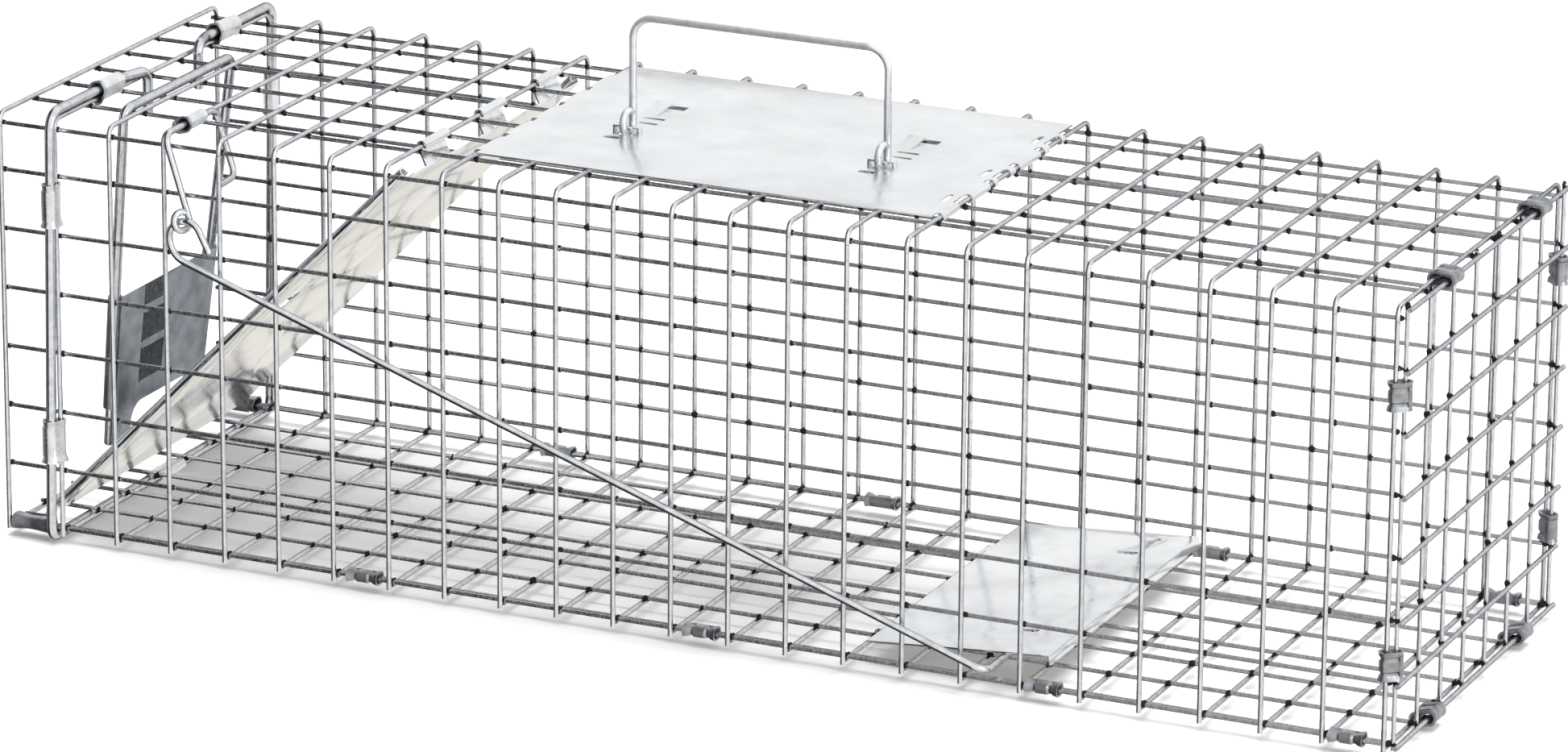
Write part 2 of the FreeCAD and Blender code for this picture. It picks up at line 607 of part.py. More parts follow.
def trigger_sleeve():
    """The sleeve on the third inner hoop that the trigger turns in."""
    hoop = Vector(hoop_x(3), TRIGGER_SLEEVE_Y, ROOF_Z)
    pivot = TRIGGER_AXIS + Vector(0, TRIGGER_SLEEVE_Y, 0)
    pivot_hole = TRIP_WIRE / 2 + 0.3
    return band(pivot, pivot_hole, hoop, HOOP_WIRE / 2 + TOUCH_GAP, SHEET, (0, 1, 0), TRIGGER_SLEEVE_LENGTH)


def trip_rod():
    """The long rod outside the cage: an open hook at the trigger's eye, a turn inward under the treadle."""
    side = ROD_SIDE_Y
    points = [
        Vector(-204.8, side, 137.4),
        Vector(-211.5, side, 150.3),
        Vector(-223.2, side, 148.8),
        Vector(-223.0, side, 134.6),
        Vector(ROD_CROSS_X, side, ROD_CROSS_Z),
        Vector(ROD_CROSS_X, 62.0, ROD_CROSS_Z),
    ]
    return bent_wire(points, [6.0, 7.0, 10.0, 6.0], TRIP_WIRE)


PAN_FRONT = Vector(PAN_AXIS.x + 4.8, 0, FLOOR_Z + 3.2)
PAN_TAB_Y = 2.0 * FLOOR_WIDTH / 7
PAN_LOOP_Y = 52.0
PAN_DIMPLE = Vector(146.0, 73.0, 0)


def pan_level(along):
    """The height of the middle of the treadle's sheet at X = ALONG."""
    return PAN_FRONT.z + (along - PAN_FRONT.x) * tan(radians(PAN_TILT))


def treadle():
    """The treadle sheet: tabs curled under a floor wire, a turned-down rear edge, loops for the trip rod."""
    sheet = block((0, -PAN_HALF_WIDTH, -SHEET / 2), (PAN_LENGTH, PAN_HALF_WIDTH, SHEET / 2))
    lip = block((PAN_LENGTH - SHEET, -PAN_HALF_WIDTH, -PAN_FLANGE), (PAN_LENGTH, PAN_HALF_WIDTH, SHEET / 2))
    sheet = sheet.fuse(lip)
    sheet.Placement = FreeCAD.Placement(PAN_FRONT, FreeCAD.Rotation(Vector(0, 1, 0), -PAN_TILT))
    parts = []
    inner = HOOP_WIRE / 2 + TURN_GAP
    rod_hole = TRIP_WIRE / 2 + TURN_GAP
    for side in (-1, 1):
        across = side * PAN_TAB_Y
        centre = PAN_AXIS + Vector(0, across, 0)
        parts.append(curl(centre, Vector(0, -1, 0), inner, SHEET, PAN_TAB_WIDTH, Vector(0.5, 0, 1),
                          PAN_TAB_CURL))
        start = Vector(centre.x + 0.8, across, centre.z + inner + SHEET / 2 - 0.15)
        end = Vector(PAN_FRONT.x + 0.6, across, PAN_FRONT.z)
        strip = block((0, -PAN_TAB_WIDTH / 2, -SHEET / 2),
                      ((end - start).Length, PAN_TAB_WIDTH / 2, SHEET / 2))
        angle = degrees(atan2(end.z - start.z, end.x - start.x))
        strip.Placement = FreeCAD.Placement(start, FreeCAD.Rotation(Vector(0, 1, 0), -angle))
        parts.append(strip)
        loop_y = side * PAN_LOOP_Y - PAN_LOOP_WIDTH / 2
        loop = Part.makeCylinder(rod_hole + SHEET, PAN_LOOP_WIDTH, Vector(ROD_CROSS_X, loop_y, ROD_CROSS_Z),
                                 Vector(0, 1, 0))
        above = block((ROD_CROSS_X - 2 * rod_hole, loop_y - PAST, pan_level(ROD_CROSS_X)),
                      (ROD_CROSS_X + 2 * rod_hole, loop_y + PAN_LOOP_WIDTH + PAST, 2 * ROD_CROSS_Z))
        parts.append(loop.cut(above))
    pan = sheet.fuse(parts)
    slot_start, slot_end = PAN_SLOT_X
    for side in (-1, 1):
        loop_y = side * PAN_LOOP_Y
        hole = Part.makeCylinder(rod_hole, 2 * PAN_LOOP_WIDTH,
                                 Vector(ROD_CROSS_X, loop_y - PAN_LOOP_WIDTH, ROD_CROSS_Z), Vector(0, 1, 0))
        slot = block((ROD_CROSS_X + slot_start, loop_y - PAN_SLOT_HALF_WIDTH, ROD_CROSS_Z),
                     (ROD_CROSS_X + slot_end, loop_y + PAN_SLOT_HALF_WIDTH, 2 * ROD_CROSS_Z))
        pan = pan.cut(hole).cut(slot)
    level = pan_level(PAN_DIMPLE.x)
    top = level + SHEET / 2 + DIMPLE_RISE
    reach = Vector(DIMPLE_RADIUS, DIMPLE_RADIUS, 0)
    dome = Part.makeSphere(DIMPLE_RADIUS, PAN_DIMPLE + Vector(0, 0, top - DIMPLE_RADIUS))
    above_sheet = block(PAN_DIMPLE - reach + Vector(0, 0, level), PAN_DIMPLE + reach + Vector(0, 0, 2 * top))
    cap = dome.common(above_sheet)
    return pan.fuse(cap).removeSplitter()


# ---------------------------------------------------------------- roof plate and handle
PLATE_NEAR = -65.0
PLATE_FAR = 79.0
# across the plate: middle, half width, then start and end beside the handle's leg
PLATE_SLOTS = ((-20.5, 1.7, -5.2, 1.6), (3.8, 1.0, -1.5, 7.0), (11.1, 1.0, -2.7, 7.0), (29.6, 2.5, -3.0, 8.0))
PLATE_TAB_WIDTH = 21.0
PLATE_TAB_CURL = 200
PLATE_TABS = 5
PLATE_INSET = 1.6           # from a hoop's centre line to the sheet's own end
PLATE_NOTCHES = (-38.0, 1.0, 54.0)
NOTCH_DEPTH = 1.3
NOTCH_HALF_WIDTH = 6.5
NOTCH_SLOT_X = (-7.0, -4.8)
NOTCH_SLOT_Y = (-7.0, 3.0)
WINDOW_HALF = (2.2, 6.4)    # the opening that the handle's eye turns in
BRIDGE_HALF = (6.0, 1.7)
BRIDGE_RISE = 2.2
BRIDGE_FOOT = 1.2
HOOD_START = (-5.5, 14.0)   # from the handle's leg along the plate, and across it
HOOD_WIDTH = 7.0
HOOD_LENGTH = 17.0
HOOD_RISE = 6.0             # degrees
HANDLE_LEGS = (-59.1, 54.2)
HANDLE_EYE = 4.65
HANDLE_TOP = 232.0
HANDLE_BEND = 9.0


def roof_plate():
    """The plate that carries the handle, hooked round two hoops by tabs at each end."""
    low_x = hoop_x(8)
    high_x = hoop_x(16)
    bottom = PLATE_Z - SHEET / 2
    top = PLATE_Z + SHEET / 2
    plate = block((low_x + PLATE_INSET, PLATE_NEAR, bottom), (high_x - PLATE_INSET, PLATE_FAR, top))
    parts = []
    inner = HOOP_WIRE / 2 + PLATE_LIFT
    first = -SIDE_Y + ROOF_FIRST
    for side, hoop in ((-1, low_x), (1, high_x)):
        for cell in range(PLATE_TABS):
            across = first + (cell + 0.5) * ROOF_PITCH
            centre = Vector(hoop, across, ROOF_Z)
            axis = Vector(0, side, 0)
            parts.append(curl(centre, axis, inner, SHEET, PLATE_TAB_WIDTH, Vector(0, 0, 1), PLATE_TAB_CURL))
            ends = sorted((hoop, hoop - side * 2.0))
            parts.append(block((ends[0], across - PLATE_TAB_WIDTH / 2, bottom),
                               (ends[1], across + PLATE_TAB_WIDTH / 2, top)))
    plate = plate.fuse(parts)
    axis_y = HANDLE_AXIS.y
    for leg in HANDLE_LEGS:
        along, aside = WINDOW_HALF
        slots = [block((leg - along, axis_y - aside, bottom - PAST),
                       (leg + along, axis_y + aside, top + PAST))]
        for across, half, start, end in PLATE_SLOTS:
            slots.append(block((leg + start, across - half, bottom - PAST),
                               (leg + end, across + half, top + PAST)))
        plate = plate.cut(slots)
        along, aside = BRIDGE_HALF
        bridge = block((leg - along, axis_y - aside, bottom),
                       (leg + along, axis_y + aside, top + BRIDGE_RISE))
        tunnel = block((leg - along + BRIDGE_FOOT, axis_y - aside - PAST, bottom - PAST),
                       (leg + along - BRIDGE_FOOT, axis_y + aside + PAST, bottom + BRIDGE_RISE))
        hood = block((0, 0, -SHEET / 2), (HOOD_WIDTH, HOOD_LENGTH, SHEET / 2))
        hood.Placement = FreeCAD.Placement(Vector(leg + HOOD_START[0], HOOD_START[1], PLATE_Z),
                                           FreeCAD.Rotation(Vector(1, 0, 0), HOOD_RISE))
        plate = plate.fuse([bridge.cut(tunnel), hood])
    for across in PLATE_NOTCHES:
        notch = block((high_x - NOTCH_DEPTH, across - NOTCH_HALF_WIDTH, ROOF_Z - 2 * HOOP_WIRE),
                      (high_x + 2 * HOOP_WIRE, across + NOTCH_HALF_WIDTH, top + PAST))
        slot = block((high_x + NOTCH_SLOT_X[0], across + NOTCH_SLOT_Y[0], bottom - PAST),
                     (high_x + NOTCH_SLOT_X[1], across + NOTCH_SLOT_Y[1], top + PAST))
        plate = plate.cut([notch, slot])
    return plate.removeSplitter()


def handle():
    """The carrying handle: one wire, with an eye at each end round the plate's bridges."""
    left, right = HANDLE_LEGS
    leg_y = HANDLE_AXIS.y + HANDLE_EYE
    points = [Vector(left, leg_y, HANDLE_AXIS.z), Vector(left, leg_y, HANDLE_TOP),
              Vector(right, leg_y, HANDLE_TOP), Vector(right, leg_y, HANDLE_AXIS.z)]
    shape = bent_wire(points, [HANDLE_BEND, HANDLE_BEND], HANDLE_WIRE)
    for leg in HANDLE_LEGS:
        centre = Vector(leg, HANDLE_AXIS.y, HANDLE_AXIS.z)
        eye = Part.makeTorus(HANDLE_EYE, HANDLE_WIRE / 2, centre, Vector(1, 0, 0))
        shape = shape.fuse(eye)
    return shape


# ---------------------------------------------------------------- assembly and export
def all_nodes():
    """Every node's name and solids."""
    nodes = {
        "near_side_mesh": side_mesh(-1),
        "far_side_mesh": side_mesh(1),
        "roof_mesh": roof_mesh(),
        "floor_mesh": floor_mesh(),
        "rear_mesh": rear_mesh(),
        "floor_clips_near": floor_clips(-1),
        "floor_clips_far": floor_clips(1),
        "front_corner_clips": corner_clips(),
        "front_frame_rod": [front_frame_rod()],
        "trigger_sleeve": [trigger_sleeve()],
        "door_panel": [door_panel()],
        "lock_rod": [lock_rod()],
        "lock_plate": [lock_plate()],
        "trigger": [trigger()],
        "trip_rod": [trip_rod()],
        "treadle": [treadle()],
        "roof_plate": [roof_plate()],
        "handle": [handle()],
    }
    nodes.update(rear_clips())
    nodes.update(frame_sleeves())
    return nodes


def main():
    os.makedirs("parts", exist_ok=True)
    compounds = {name: Part.makeCompound(solids) for name, solids in all_nodes().items()}
    box = FreeCAD.BoundBox()
    for compound in compounds.values():
        box.add(compound.optimalBoundingBox(True, False))
    shift = Vector(-box.Center.x, -box.Center.y, -box.ZMin)
    print("box", [round(value, 3) for value in (box.XLength, box.YLength, box.ZLength)])
    print("shift", [round(value, 3) for value in shift])
    for name, compound in sorted(compounds.items()):
        compound.translate(shift)
        print(name, len(compound.Solids), "solids, volume", round(compound.Volume, 1),
              "valid", compound.isValid())
        compound.exportStep("parts/" + name + ".step")


main()
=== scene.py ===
"""Looks for the live catch trap: welded wire walls, rods, sleeves, sheet door, treadle and handle plate."""
import json
from math import asin, cos, pi, radians, sin

import bmesh
import bpy
from bpy.props import FloatProperty, FloatVectorProperty, IntProperty, PointerProperty
from mathutils import Matrix, Quaternion, Vector

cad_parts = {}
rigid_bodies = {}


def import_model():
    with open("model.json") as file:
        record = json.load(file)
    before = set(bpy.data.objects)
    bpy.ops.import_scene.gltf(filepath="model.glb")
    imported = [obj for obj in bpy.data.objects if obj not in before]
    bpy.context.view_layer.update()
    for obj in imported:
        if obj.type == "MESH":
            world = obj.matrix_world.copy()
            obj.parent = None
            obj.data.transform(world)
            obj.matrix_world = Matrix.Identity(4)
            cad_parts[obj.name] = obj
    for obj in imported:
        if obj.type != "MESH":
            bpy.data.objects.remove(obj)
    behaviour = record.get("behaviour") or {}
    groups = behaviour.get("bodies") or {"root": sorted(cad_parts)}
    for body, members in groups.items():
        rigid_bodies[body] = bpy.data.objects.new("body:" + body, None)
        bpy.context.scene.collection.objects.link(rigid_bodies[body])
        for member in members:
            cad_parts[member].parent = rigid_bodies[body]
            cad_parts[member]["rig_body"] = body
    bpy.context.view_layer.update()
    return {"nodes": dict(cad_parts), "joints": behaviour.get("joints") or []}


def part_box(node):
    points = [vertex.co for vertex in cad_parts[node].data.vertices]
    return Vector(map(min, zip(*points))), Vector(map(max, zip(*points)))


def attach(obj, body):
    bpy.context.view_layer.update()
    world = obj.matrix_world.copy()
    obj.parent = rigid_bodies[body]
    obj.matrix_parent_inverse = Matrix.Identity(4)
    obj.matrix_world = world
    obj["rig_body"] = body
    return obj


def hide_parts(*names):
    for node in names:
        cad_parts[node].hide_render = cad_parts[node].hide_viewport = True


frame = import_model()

bl_info = {
    "name": "Live catch trap",
    "version": (1, 0, 0),
    "blender": (4, 5, 0),
    "location": "3D View > Sidebar > Trap",
    "description": "Builds the finished surfaces of a welded wire live catch trap around its packed model",
    "category": "Add Mesh",
}

# ---------------------------------------------------------------- places taken from the frame
MM = 0.001
JOINTS = {joint["name"]: Vector(joint["pos_m"]) for joint in frame["joints"]}
NEAR_LOW, NEAR_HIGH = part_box("near_side_mesh")
FAR_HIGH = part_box("far_side_mesh")[1]
FLOOR_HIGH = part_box("floor_mesh")[1]
REAR_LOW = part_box("rear_mesh")[0]
ROD_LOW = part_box("front_frame_rod")[0]
MIDDLE = Vector(((NEAR_LOW.x + NEAR_HIGH.x) / 2, (NEAR_LOW.y + FAR_HIGH.y) / 2, 0))


def mm(*values):
    """Sizes given in millimetres, in metres."""
    return tuple(value * MM for value in values)


def at(x, y, z):
    """A point given in millimetres from the middle of the cage, at ground level."""
    return MIDDLE + Vector((x, y, z)) * MM


# ---------------------------------------------------------------- driving sizes, in metres
# wires, rods and sheet
HOOP_WIRE = 2.1 * MM
LINE_WIRE = 1.85 * MM
FRAME_ROD = 4.3 * MM
LOCK_ROD = 4.2 * MM
TRIP_WIRE = 2.9 * MM
HANDLE_WIRE = 3.2 * MM
SHEET = 0.8 * MM
THICK_SHEET = SHEET + 0.2 * MM
EDGE_ROUNDING = 0.15 * MM
PLATE_ROUNDING = 0.10 * MM
TOUCH_GAP = 0.1 * MM
ROD_CHAMFER = 0.25           # as a share of the rod's radius

# how meshes are cleaned and shaded
MERGE_REACH = 0.002 * MM
FLAT_ANGLE = radians(0.5)
CORNER_ANGLE = radians(50)
ROD_SHARP = radians(35)      # edges that turn by more than this stay sharp
SHEET_SHARP = radians(32)
WIRE_SHARP = radians(50)
WELD_SHARP = radians(60)
OUTER_FACE = 0.4             # cosine to INWARD from which a face is the plate's outer side

# cage mesh
SQUARES_LONG = 24
SQUARES_HIGH = 7
HOOPS = SQUARES_LONG + 1
OVERHANG = 1.5 * MM
HOOP_BEND = 4.0 * MM
UPRIGHT_STEPS = 6
UPRIGHT_LAP = 0.4 * MM       # how far an upright runs up into its roof hoop
ROOF_ROWS = 6
ROOF_PITCH = 25.7 * MM
ROOF_FIRST = 29.6 * MM
SHOULDER_DROP = 4.6 * MM     # from the hoops' tops down to the line wire inside each bend
FLOOR_WIDTH = 177.0 * MM
FLOOR_ROWS = 8
REAR_ROWS = 8
REAR_INSET = 2.5 * MM
REAR_LOW_DROP = 0.6 * MM
REAR_HIGH_DROP = 0.4 * MM
REAR_UPRIGHT_OVERHANG = 1.6 * MM
REAR_LEVEL_OVERHANG = 2.6 * MM
REAR_WELD_RISE = 0.6 * MM
WELD_SINK = 0.2 * MM         # how far two crossing wires melt into each other
WELD_SHIFT = 0.9 * MM        # from a hoop towards the closed end to the middle of its weld mark
WELD_WIDTH = LINE_WIRE * 1.5
WELD_STEP = (HOOP_WIRE + LINE_WIRE) / 2 - WELD_SINK
PITCH = (NEAR_HIGH.x - NEAR_LOW.x - 2 * OVERHANG) / SQUARES_LONG
FRONT_X = NEAR_LOW.x + OVERHANG
REAR_X = NEAR_HIGH.x - OVERHANG
SIDE_Y = (FAR_HIGH.y - NEAR_LOW.y - HOOP_WIRE) / 2
FLOOR_Z = FLOOR_HIGH.z - LINE_WIRE / 2
ROOF_Z = JOINTS["door_hinge"].z
SPLIT_Z = NEAR_HIGH.z
FOOT_Z = NEAR_LOW.z
REAR_MESH_X = REAR_LOW.x + LINE_WIRE / 2

# frame rod
FRAME_TOP_X = FRONT_X + PITCH
FRAME_STEP = (HOOP_WIRE + FRAME_ROD) / 2 + TOUCH_GAP
FRAME_TOP_Z = ROOF_Z + FRAME_STEP
FRAME_SIDE_Y = SIDE_Y + FRAME_STEP
FRAME_FOOT_X = FRAME_TOP_X - 3.5 * MM
FRAME_FOOT_Z = ROD_LOW.z + FRAME_ROD / 2
FRAME_BENDS = mm(4.5, 12.0, 6.9, 5.0, 5.0, 6.9, 12.0, 4.5)
HOOK_X = FRAME_TOP_X + 3.5 * MM
HOOKS_Y = mm(-20.0, 23.5)
HOOK_JOG = 13.0 * MM
HOOK_DROP = 15.725 * MM      # from the hoops' tops down to the hooks' tips

# rolled sleeves and crimped clips: a station is (share of the length, how far it swells there in millimetres)
SLEEVE_STATIONS = ((-0.5, 1.1), (-0.43, 0.55), (-0.34, 0.05), (-0.05, -0.06), (0.05, -0.06), (0.36, 0.0),
                   (0.44, 0.14), (0.5, 0.42))
CLIP_STATIONS = ((-0.5, 0.9), (-0.45, 0.75), (-0.36, 0.5), (-0.29, -0.15), (-0.23, -0.15), (-0.17, 0.45),
                 (0.17, 0.45), (0.23, -0.15), (0.29, -0.15), (0.36, 0.5), (0.45, 0.75), (0.5, 0.9))
CORNER_STATIONS = ((-0.5, 0.3), (-0.4, 0.1), (-0.1, -0.5), (0.1, -0.4), (0.4, 0.0), (0.5, 0.2))
SLEEVE_FLAP = (14, 24)       # the steps of the outline that a strip's overlapping end covers
CLIP_FLAP = (2, 12)
FLAP_LIFT = 0.9              # these two are shares of the wall, the next one of the length
FLAP_WALL = 0.75
FLAP_LENGTH = 0.7
SLEEVE_LENGTH = 18.0 * MM
FLOOR_SLEEVE_LENGTH = 20.0 * MM
TRIGGER_SLEEVE_LENGTH = 15.0 * MM
ROOF_SLEEVES_Y = mm(-47.5, 53.0)
SIDE_SLEEVES_Z = mm(45.6, 147.5)
SIDE_SLEEVE_SLACK = 0.15 * MM
TRIGGER_SLEEVE_Y = -71.8 * MM
TRIGGER_HOOP_X = FRONT_X + 3 * PITCH
PIVOT_HOLE = 1.75 * MM
CLIP_GAP = 0.25 * MM
FLOOR_CLIPS_X = mm(-139.5, 12.7, 161.5, 289.0)
FLOOR_CLIP_LENGTH = 14.0 * MM
CORNER_CLIP_X = -294.5 * MM
CORNER_CLIP_SHIFT = 0.2 * MM
CORNER_CLIP_HOLE = 2.4 * MM
CORNER_CLIP_LENGTH = 17.0 * MM
REAR_CLIPS_Y = mm(-46.0, 56.5)
REAR_CLIPS_Z = mm(39.0, 148.0)
BOTTOM_CLIP_SHIFT = -3.5 * MM
REAR_CLIP_LENGTH = 11.5 * MM

# lock frame, in millimetres down its plane and across the cage
LOCK_LEAN = 6.0              # degrees forward of plumb
LOCK_REACH = 150.0
LOCK_BAR_Y = (-73.0, 19.2)
LOCK_FOOT_Y = (-63.5, 9.7)
LOCK_BEND = 5.0 * MM
# painted shade: the lock plate's recess floors and slits get dark finishes by depth
LOCK_SHADE_DEPTHS = ((0.35 * MM, "pressed panel"), (0.65 * MM, "dark slit"))

# trigger and trip rod, points in millimetres
ROD_SIDE_Y = -98.0
EYE_CENTRE = at(-217.5, ROD_SIDE_Y, 149.6)
EYE_RADIUS = 3.8 * MM
EYE_DOWN = Vector((0.286, 0.0, -0.958)).normalized()
EYE_LEVEL = Vector((0.5, 0.866, 0))
EYE_STEPS = 25
EYE_STEP = radians(12.5)
EYE_SLIDE = 0.9 * MM         # the closed eye's end lies this far beside its start
TRIGGER_ARM_Y = -53.0
TRIGGER_SIDE_Y = -95.6
TRIGGER_FOOT = ((-217.0, -66.0, 156.6), (-217.0, TRIGGER_ARM_Y, 157.1))
TRIGGER_BENDS = mm(4.0, 4.5, 5.0)
TRIP_HOOK = ((-204.8, 137.4), (-211.5, 150.3), (-223.2, 148.8), (-223.0, 134.6))
TRIP_END_Y = 62.0
TRIP_BENDS = mm(6.0, 7.0, 10.0, 6.0)

# handle
HANDLE_LEGS = mm(-59.1, 54.2)
HANDLE_EYE = 4.65 * MM
HANDLE_BEND = 9.0 * MM
HANDLE_TURNS = [radians(13) * step for step in range(1, 26)]


def spaced(start, step, count, overhang=0.0):
    """COUNT points from START on, each a STEP further, with both ends drawn out by OVERHANG."""
    step = Vector(step)
    points = [Vector(start) + step * number for number in range(count)]
    reach = step.normalized() * overhang
    points[0] -= reach
    points[-1] += reach
    return points


# ---------------------------------------------------------------- user settings
def length_setting(name, description, default, low, high):
    """A length setting; LOW and HIGH are its limits in millimetres."""
    return FloatProperty(name=name, description=description, default=default, min=low * MM, max=high * MM,
                         unit="LENGTH")


def colour_setting(name, description, default):
    """A colour setting."""
    return FloatVectorProperty(name=name, description=description, default=default, min=0.0, max=1.0,
                               subtype="COLOR")


class TrapSizes(bpy.types.PropertyGroup):
    """Thicknesses a user would change."""
    hoop_wire: length_setting("Hoop wire", "Thickness of the hoops round the cage", HOOP_WIRE, 0.5, 4)
    line_wire: length_setting("Line wire", "Thickness of the wires along the cage", LINE_WIRE, 0.5, 4)
    looseness: length_setting("Looseness", "How far a wire strays from its place", 0.18 * MM, 0, 1)
    weld_length: length_setting("Weld mark", "Length of the dark mark at each crossing", 4.2 * MM, 0.5, 6)
    frame_rod: length_setting("Frame rod", "Thickness of the rod round the mouth", FRAME_ROD, 2, 6)
    lock_rod: length_setting("Lock rod", "Thickness of the lock frame's rod", LOCK_ROD, 2, 6)
    trip_wire: length_setting("Trip wire", "Thickness of the trip rod and the trigger", TRIP_WIRE, 1, 4)
    handle_wire: length_setting("Handle wire", "Thickness of the handle's wire", HANDLE_WIRE, 1, 5)
    round_sides: IntProperty(name="Sides of a rod", description="Facets round each rod", default=24, min=8,
                             max=48)


class TrapColours(bpy.types.PropertyGroup):
    """Colours a user would change."""
    wire: colour_setting("Wire", "Galvanised mesh wire", (0.80, 0.81, 0.83))
    rod: colour_setting("Rod", "Bright drawn rod", (0.80, 0.81, 0.83))
    sheet: colour_setting("Sheet", "Bright galvanised sheet", (0.90, 0.91, 0.92))
    clip: colour_setting("Clip", "Dark zinc clips", (0.46, 0.47, 0.49))
    plate: colour_setting("Lock plate", "Dull zinc of the lock plate", (0.42, 0.44, 0.47))
    floor: colour_setting("Floor", "Studio floor", (0.93, 0.93, 0.93))


# ---------------------------------------------------------------- materials
def new_material(name):
    """The node tree and the shader of a new material."""
    material = bpy.data.materials.new(name)
    material.use_nodes = True
    return material.node_tree, material.node_tree.nodes["Principled BSDF"]


def pattern(tree, kind, scale):
    """A texture on the piece's own coordinates; SCALE is in features per metre."""
    coordinates = tree.nodes.new("ShaderNodeTexCoord")
    texture = tree.nodes.new(kind)
    texture.inputs["Scale"].default_value = scale
    tree.links.new(coordinates.outputs["Object"], texture.inputs["Vector"])
    return texture


def noise(tree, scale, detail=3.0):
    """A noise pattern of SCALE features per metre."""
    texture = pattern(tree, "ShaderNodeTexNoise", scale)
    texture.inputs["Detail"].default_value = detail
    return texture.outputs["Fac"]


def ranged(tree, value, low, high, start=0.3, end=0.7):
    """VALUE from START..END spread over LOW..HIGH."""
    node = tree.nodes.new("ShaderNodeMapRange")
    tree.links.new(value, node.inputs["Value"])
    for name, number in (("From Min", start), ("From Max", end), ("To Min", low), ("To Max", high)):
        node.inputs[name].default_value = number
    return node.outputs["Result"]


def mixed(tree, factor):
    """A colour mix driven by FACTOR: its node, whose sockets 6 and 7 are the two colours."""
    node = tree.nodes.new("ShaderNodeMix")
    node.data_type = "RGBA"
    tree.links.new(factor, node.inputs["Factor"])
    return node


def blended(tree, factor, dark, light):
    """A colour between DARK and LIGHT."""
    node = mixed(tree, factor)
    node.inputs[6].default_value = (*dark, 1)
    node.inputs[7].default_value = (*light, 1)
    return node.outputs[2]


def darker(colour, share):
    """COLOUR dimmed to a SHARE of its brightness."""
    return [value * share for value in colour]


def coloured(tree, shader, factor, dark, light):
    """Base colour between DARK and LIGHT."""
    tree.links.new(blended(tree, factor, dark, light), shader.inputs["Base Color"])


def roughened(tree, shader, value, low, high, start=0.3, end=0.7):
    """Roughness between LOW and HIGH."""
    tree.links.new(ranged(tree, value, low, high, start, end), shader.inputs["Roughness"])


def bumped(tree, shader, layers):
    """Bump made of (height, distance) layers, one over the other."""
    last = None
    for height, distance in layers:
        bump = tree.nodes.new("ShaderNodeBump")
        bump.inputs["Distance"].default_value = distance
        bump.inputs["Strength"].default_value = 1.0
        tree.links.new(height, bump.inputs["Height"])
        if last:
            tree.links.new(last, bump.inputs["Normal"])
        last = bump.outputs["Normal"]
    tree.links.new(last, shader.inputs["Normal"])


def zinc(name, colour, contrast, rough, patch, grain, dents):
    """Zinc-coated steel: PATCH and GRAIN are patterns in features per metre, DENTS their bump heights."""
    tree, shader = new_material(name)
    shader.inputs["Metallic"].default_value = 1.0
    patches = noise(tree, patch, 2.0)
    grains = noise(tree, grain, 4.0)
    coloured(tree, shader, ranged(tree, patches, 0, 1, 0.35, 0.65), darker(colour, 1 - contrast), colour)
    roughened(tree, shader, grains, rough * 0.75, rough * 1.3)
    bumped(tree, shader, [(patches, dents[0]), (grains, dents[1])])


def drawn_wire(name, colour, rough, metal=1.0):
    """Galvanised wire: zinc runs and small dark skips along it."""
    tree, shader = new_material(name)
    shader.inputs["Metallic"].default_value = metal
    shader.inputs["Specular Tint"].default_value = (0.05, 0.05, 0.06, 1)
    runs = noise(tree, 260)
    specks = noise(tree, 900, 2.0)
    coloured(tree, shader, ranged(tree, runs, 0, 1, 0.3, 0.6), darker(colour, 0.8), colour)
    roughened(tree, shader, specks, rough * 0.7, rough * 1.4)
    bumped(tree, shader, [(runs, 0.05 * MM), (specks, 0.01 * MM)])


def spangled_sheet(name, colour, rough, waves):
    """Bright galvanised sheet: faint zinc flowers, smudges and shallow waves that bend its reflections."""
    tree, shader = new_material(name)
    shader.inputs["Metallic"].default_value = 1.0
    flowers = pattern(tree, "ShaderNodeTexVoronoi", 150)
    flower = tree.nodes.new("ShaderNodeSeparateColor")
    tree.links.new(flowers.outputs["Color"], flower.inputs["Color"])
    smudges = noise(tree, 45, 5.0)
    wave = noise(tree, 14, 1.0)
    coloured(tree, shader, ranged(tree, smudges, 0, 1, 0.3, 0.75), colour, darker(colour, 0.86))
    roughened(tree, shader, flower.outputs["Red"], rough * 0.8, rough * 1.25, 0, 1)
    bumped(tree, shader, [(wave, waves), (smudges, 0.05 * MM)])


def weld_scale_and_painted_shadow(name):
    """Weld scale and painted shadow: dull marks where two wires cross, near-black for the scale and for the
    shade at each crossing.
    """
    tree, shader = new_material(name)
    shader.inputs["Specular IOR Level"].default_value = 0.15
    speckle = noise(tree, 700)
    coloured(tree, shader, speckle, (0.004, 0.004, 0.004), (0.03, 0.026, 0.022))
    roughened(tree, shader, speckle, 0.6, 0.9)
    bumped(tree, shader, [(speckle, 0.1 * MM)])


def painted_recess_shade(name, colour):
    """Painted shade for the recesses of pressed shapes: a dark, dull zinc colour."""
    tree, shader = new_material(name)
    shader.inputs["Metallic"].default_value = 0.5
    shader.inputs["Roughness"].default_value = 0.6
    coloured(tree, shader, ranged(tree, noise(tree, 500), 0, 1), darker(colour, 0.4), colour)


def studio_paper(name, colour):
    """Matt pale paper."""
    tree, shader = new_material(name)
    shader.inputs["Roughness"].default_value = 0.9
    shader.inputs["Specular IOR Level"].default_value = 0.2
    coloured(tree, shader, noise(tree, 30, 2.0), darker(colour, 0.99), colour)


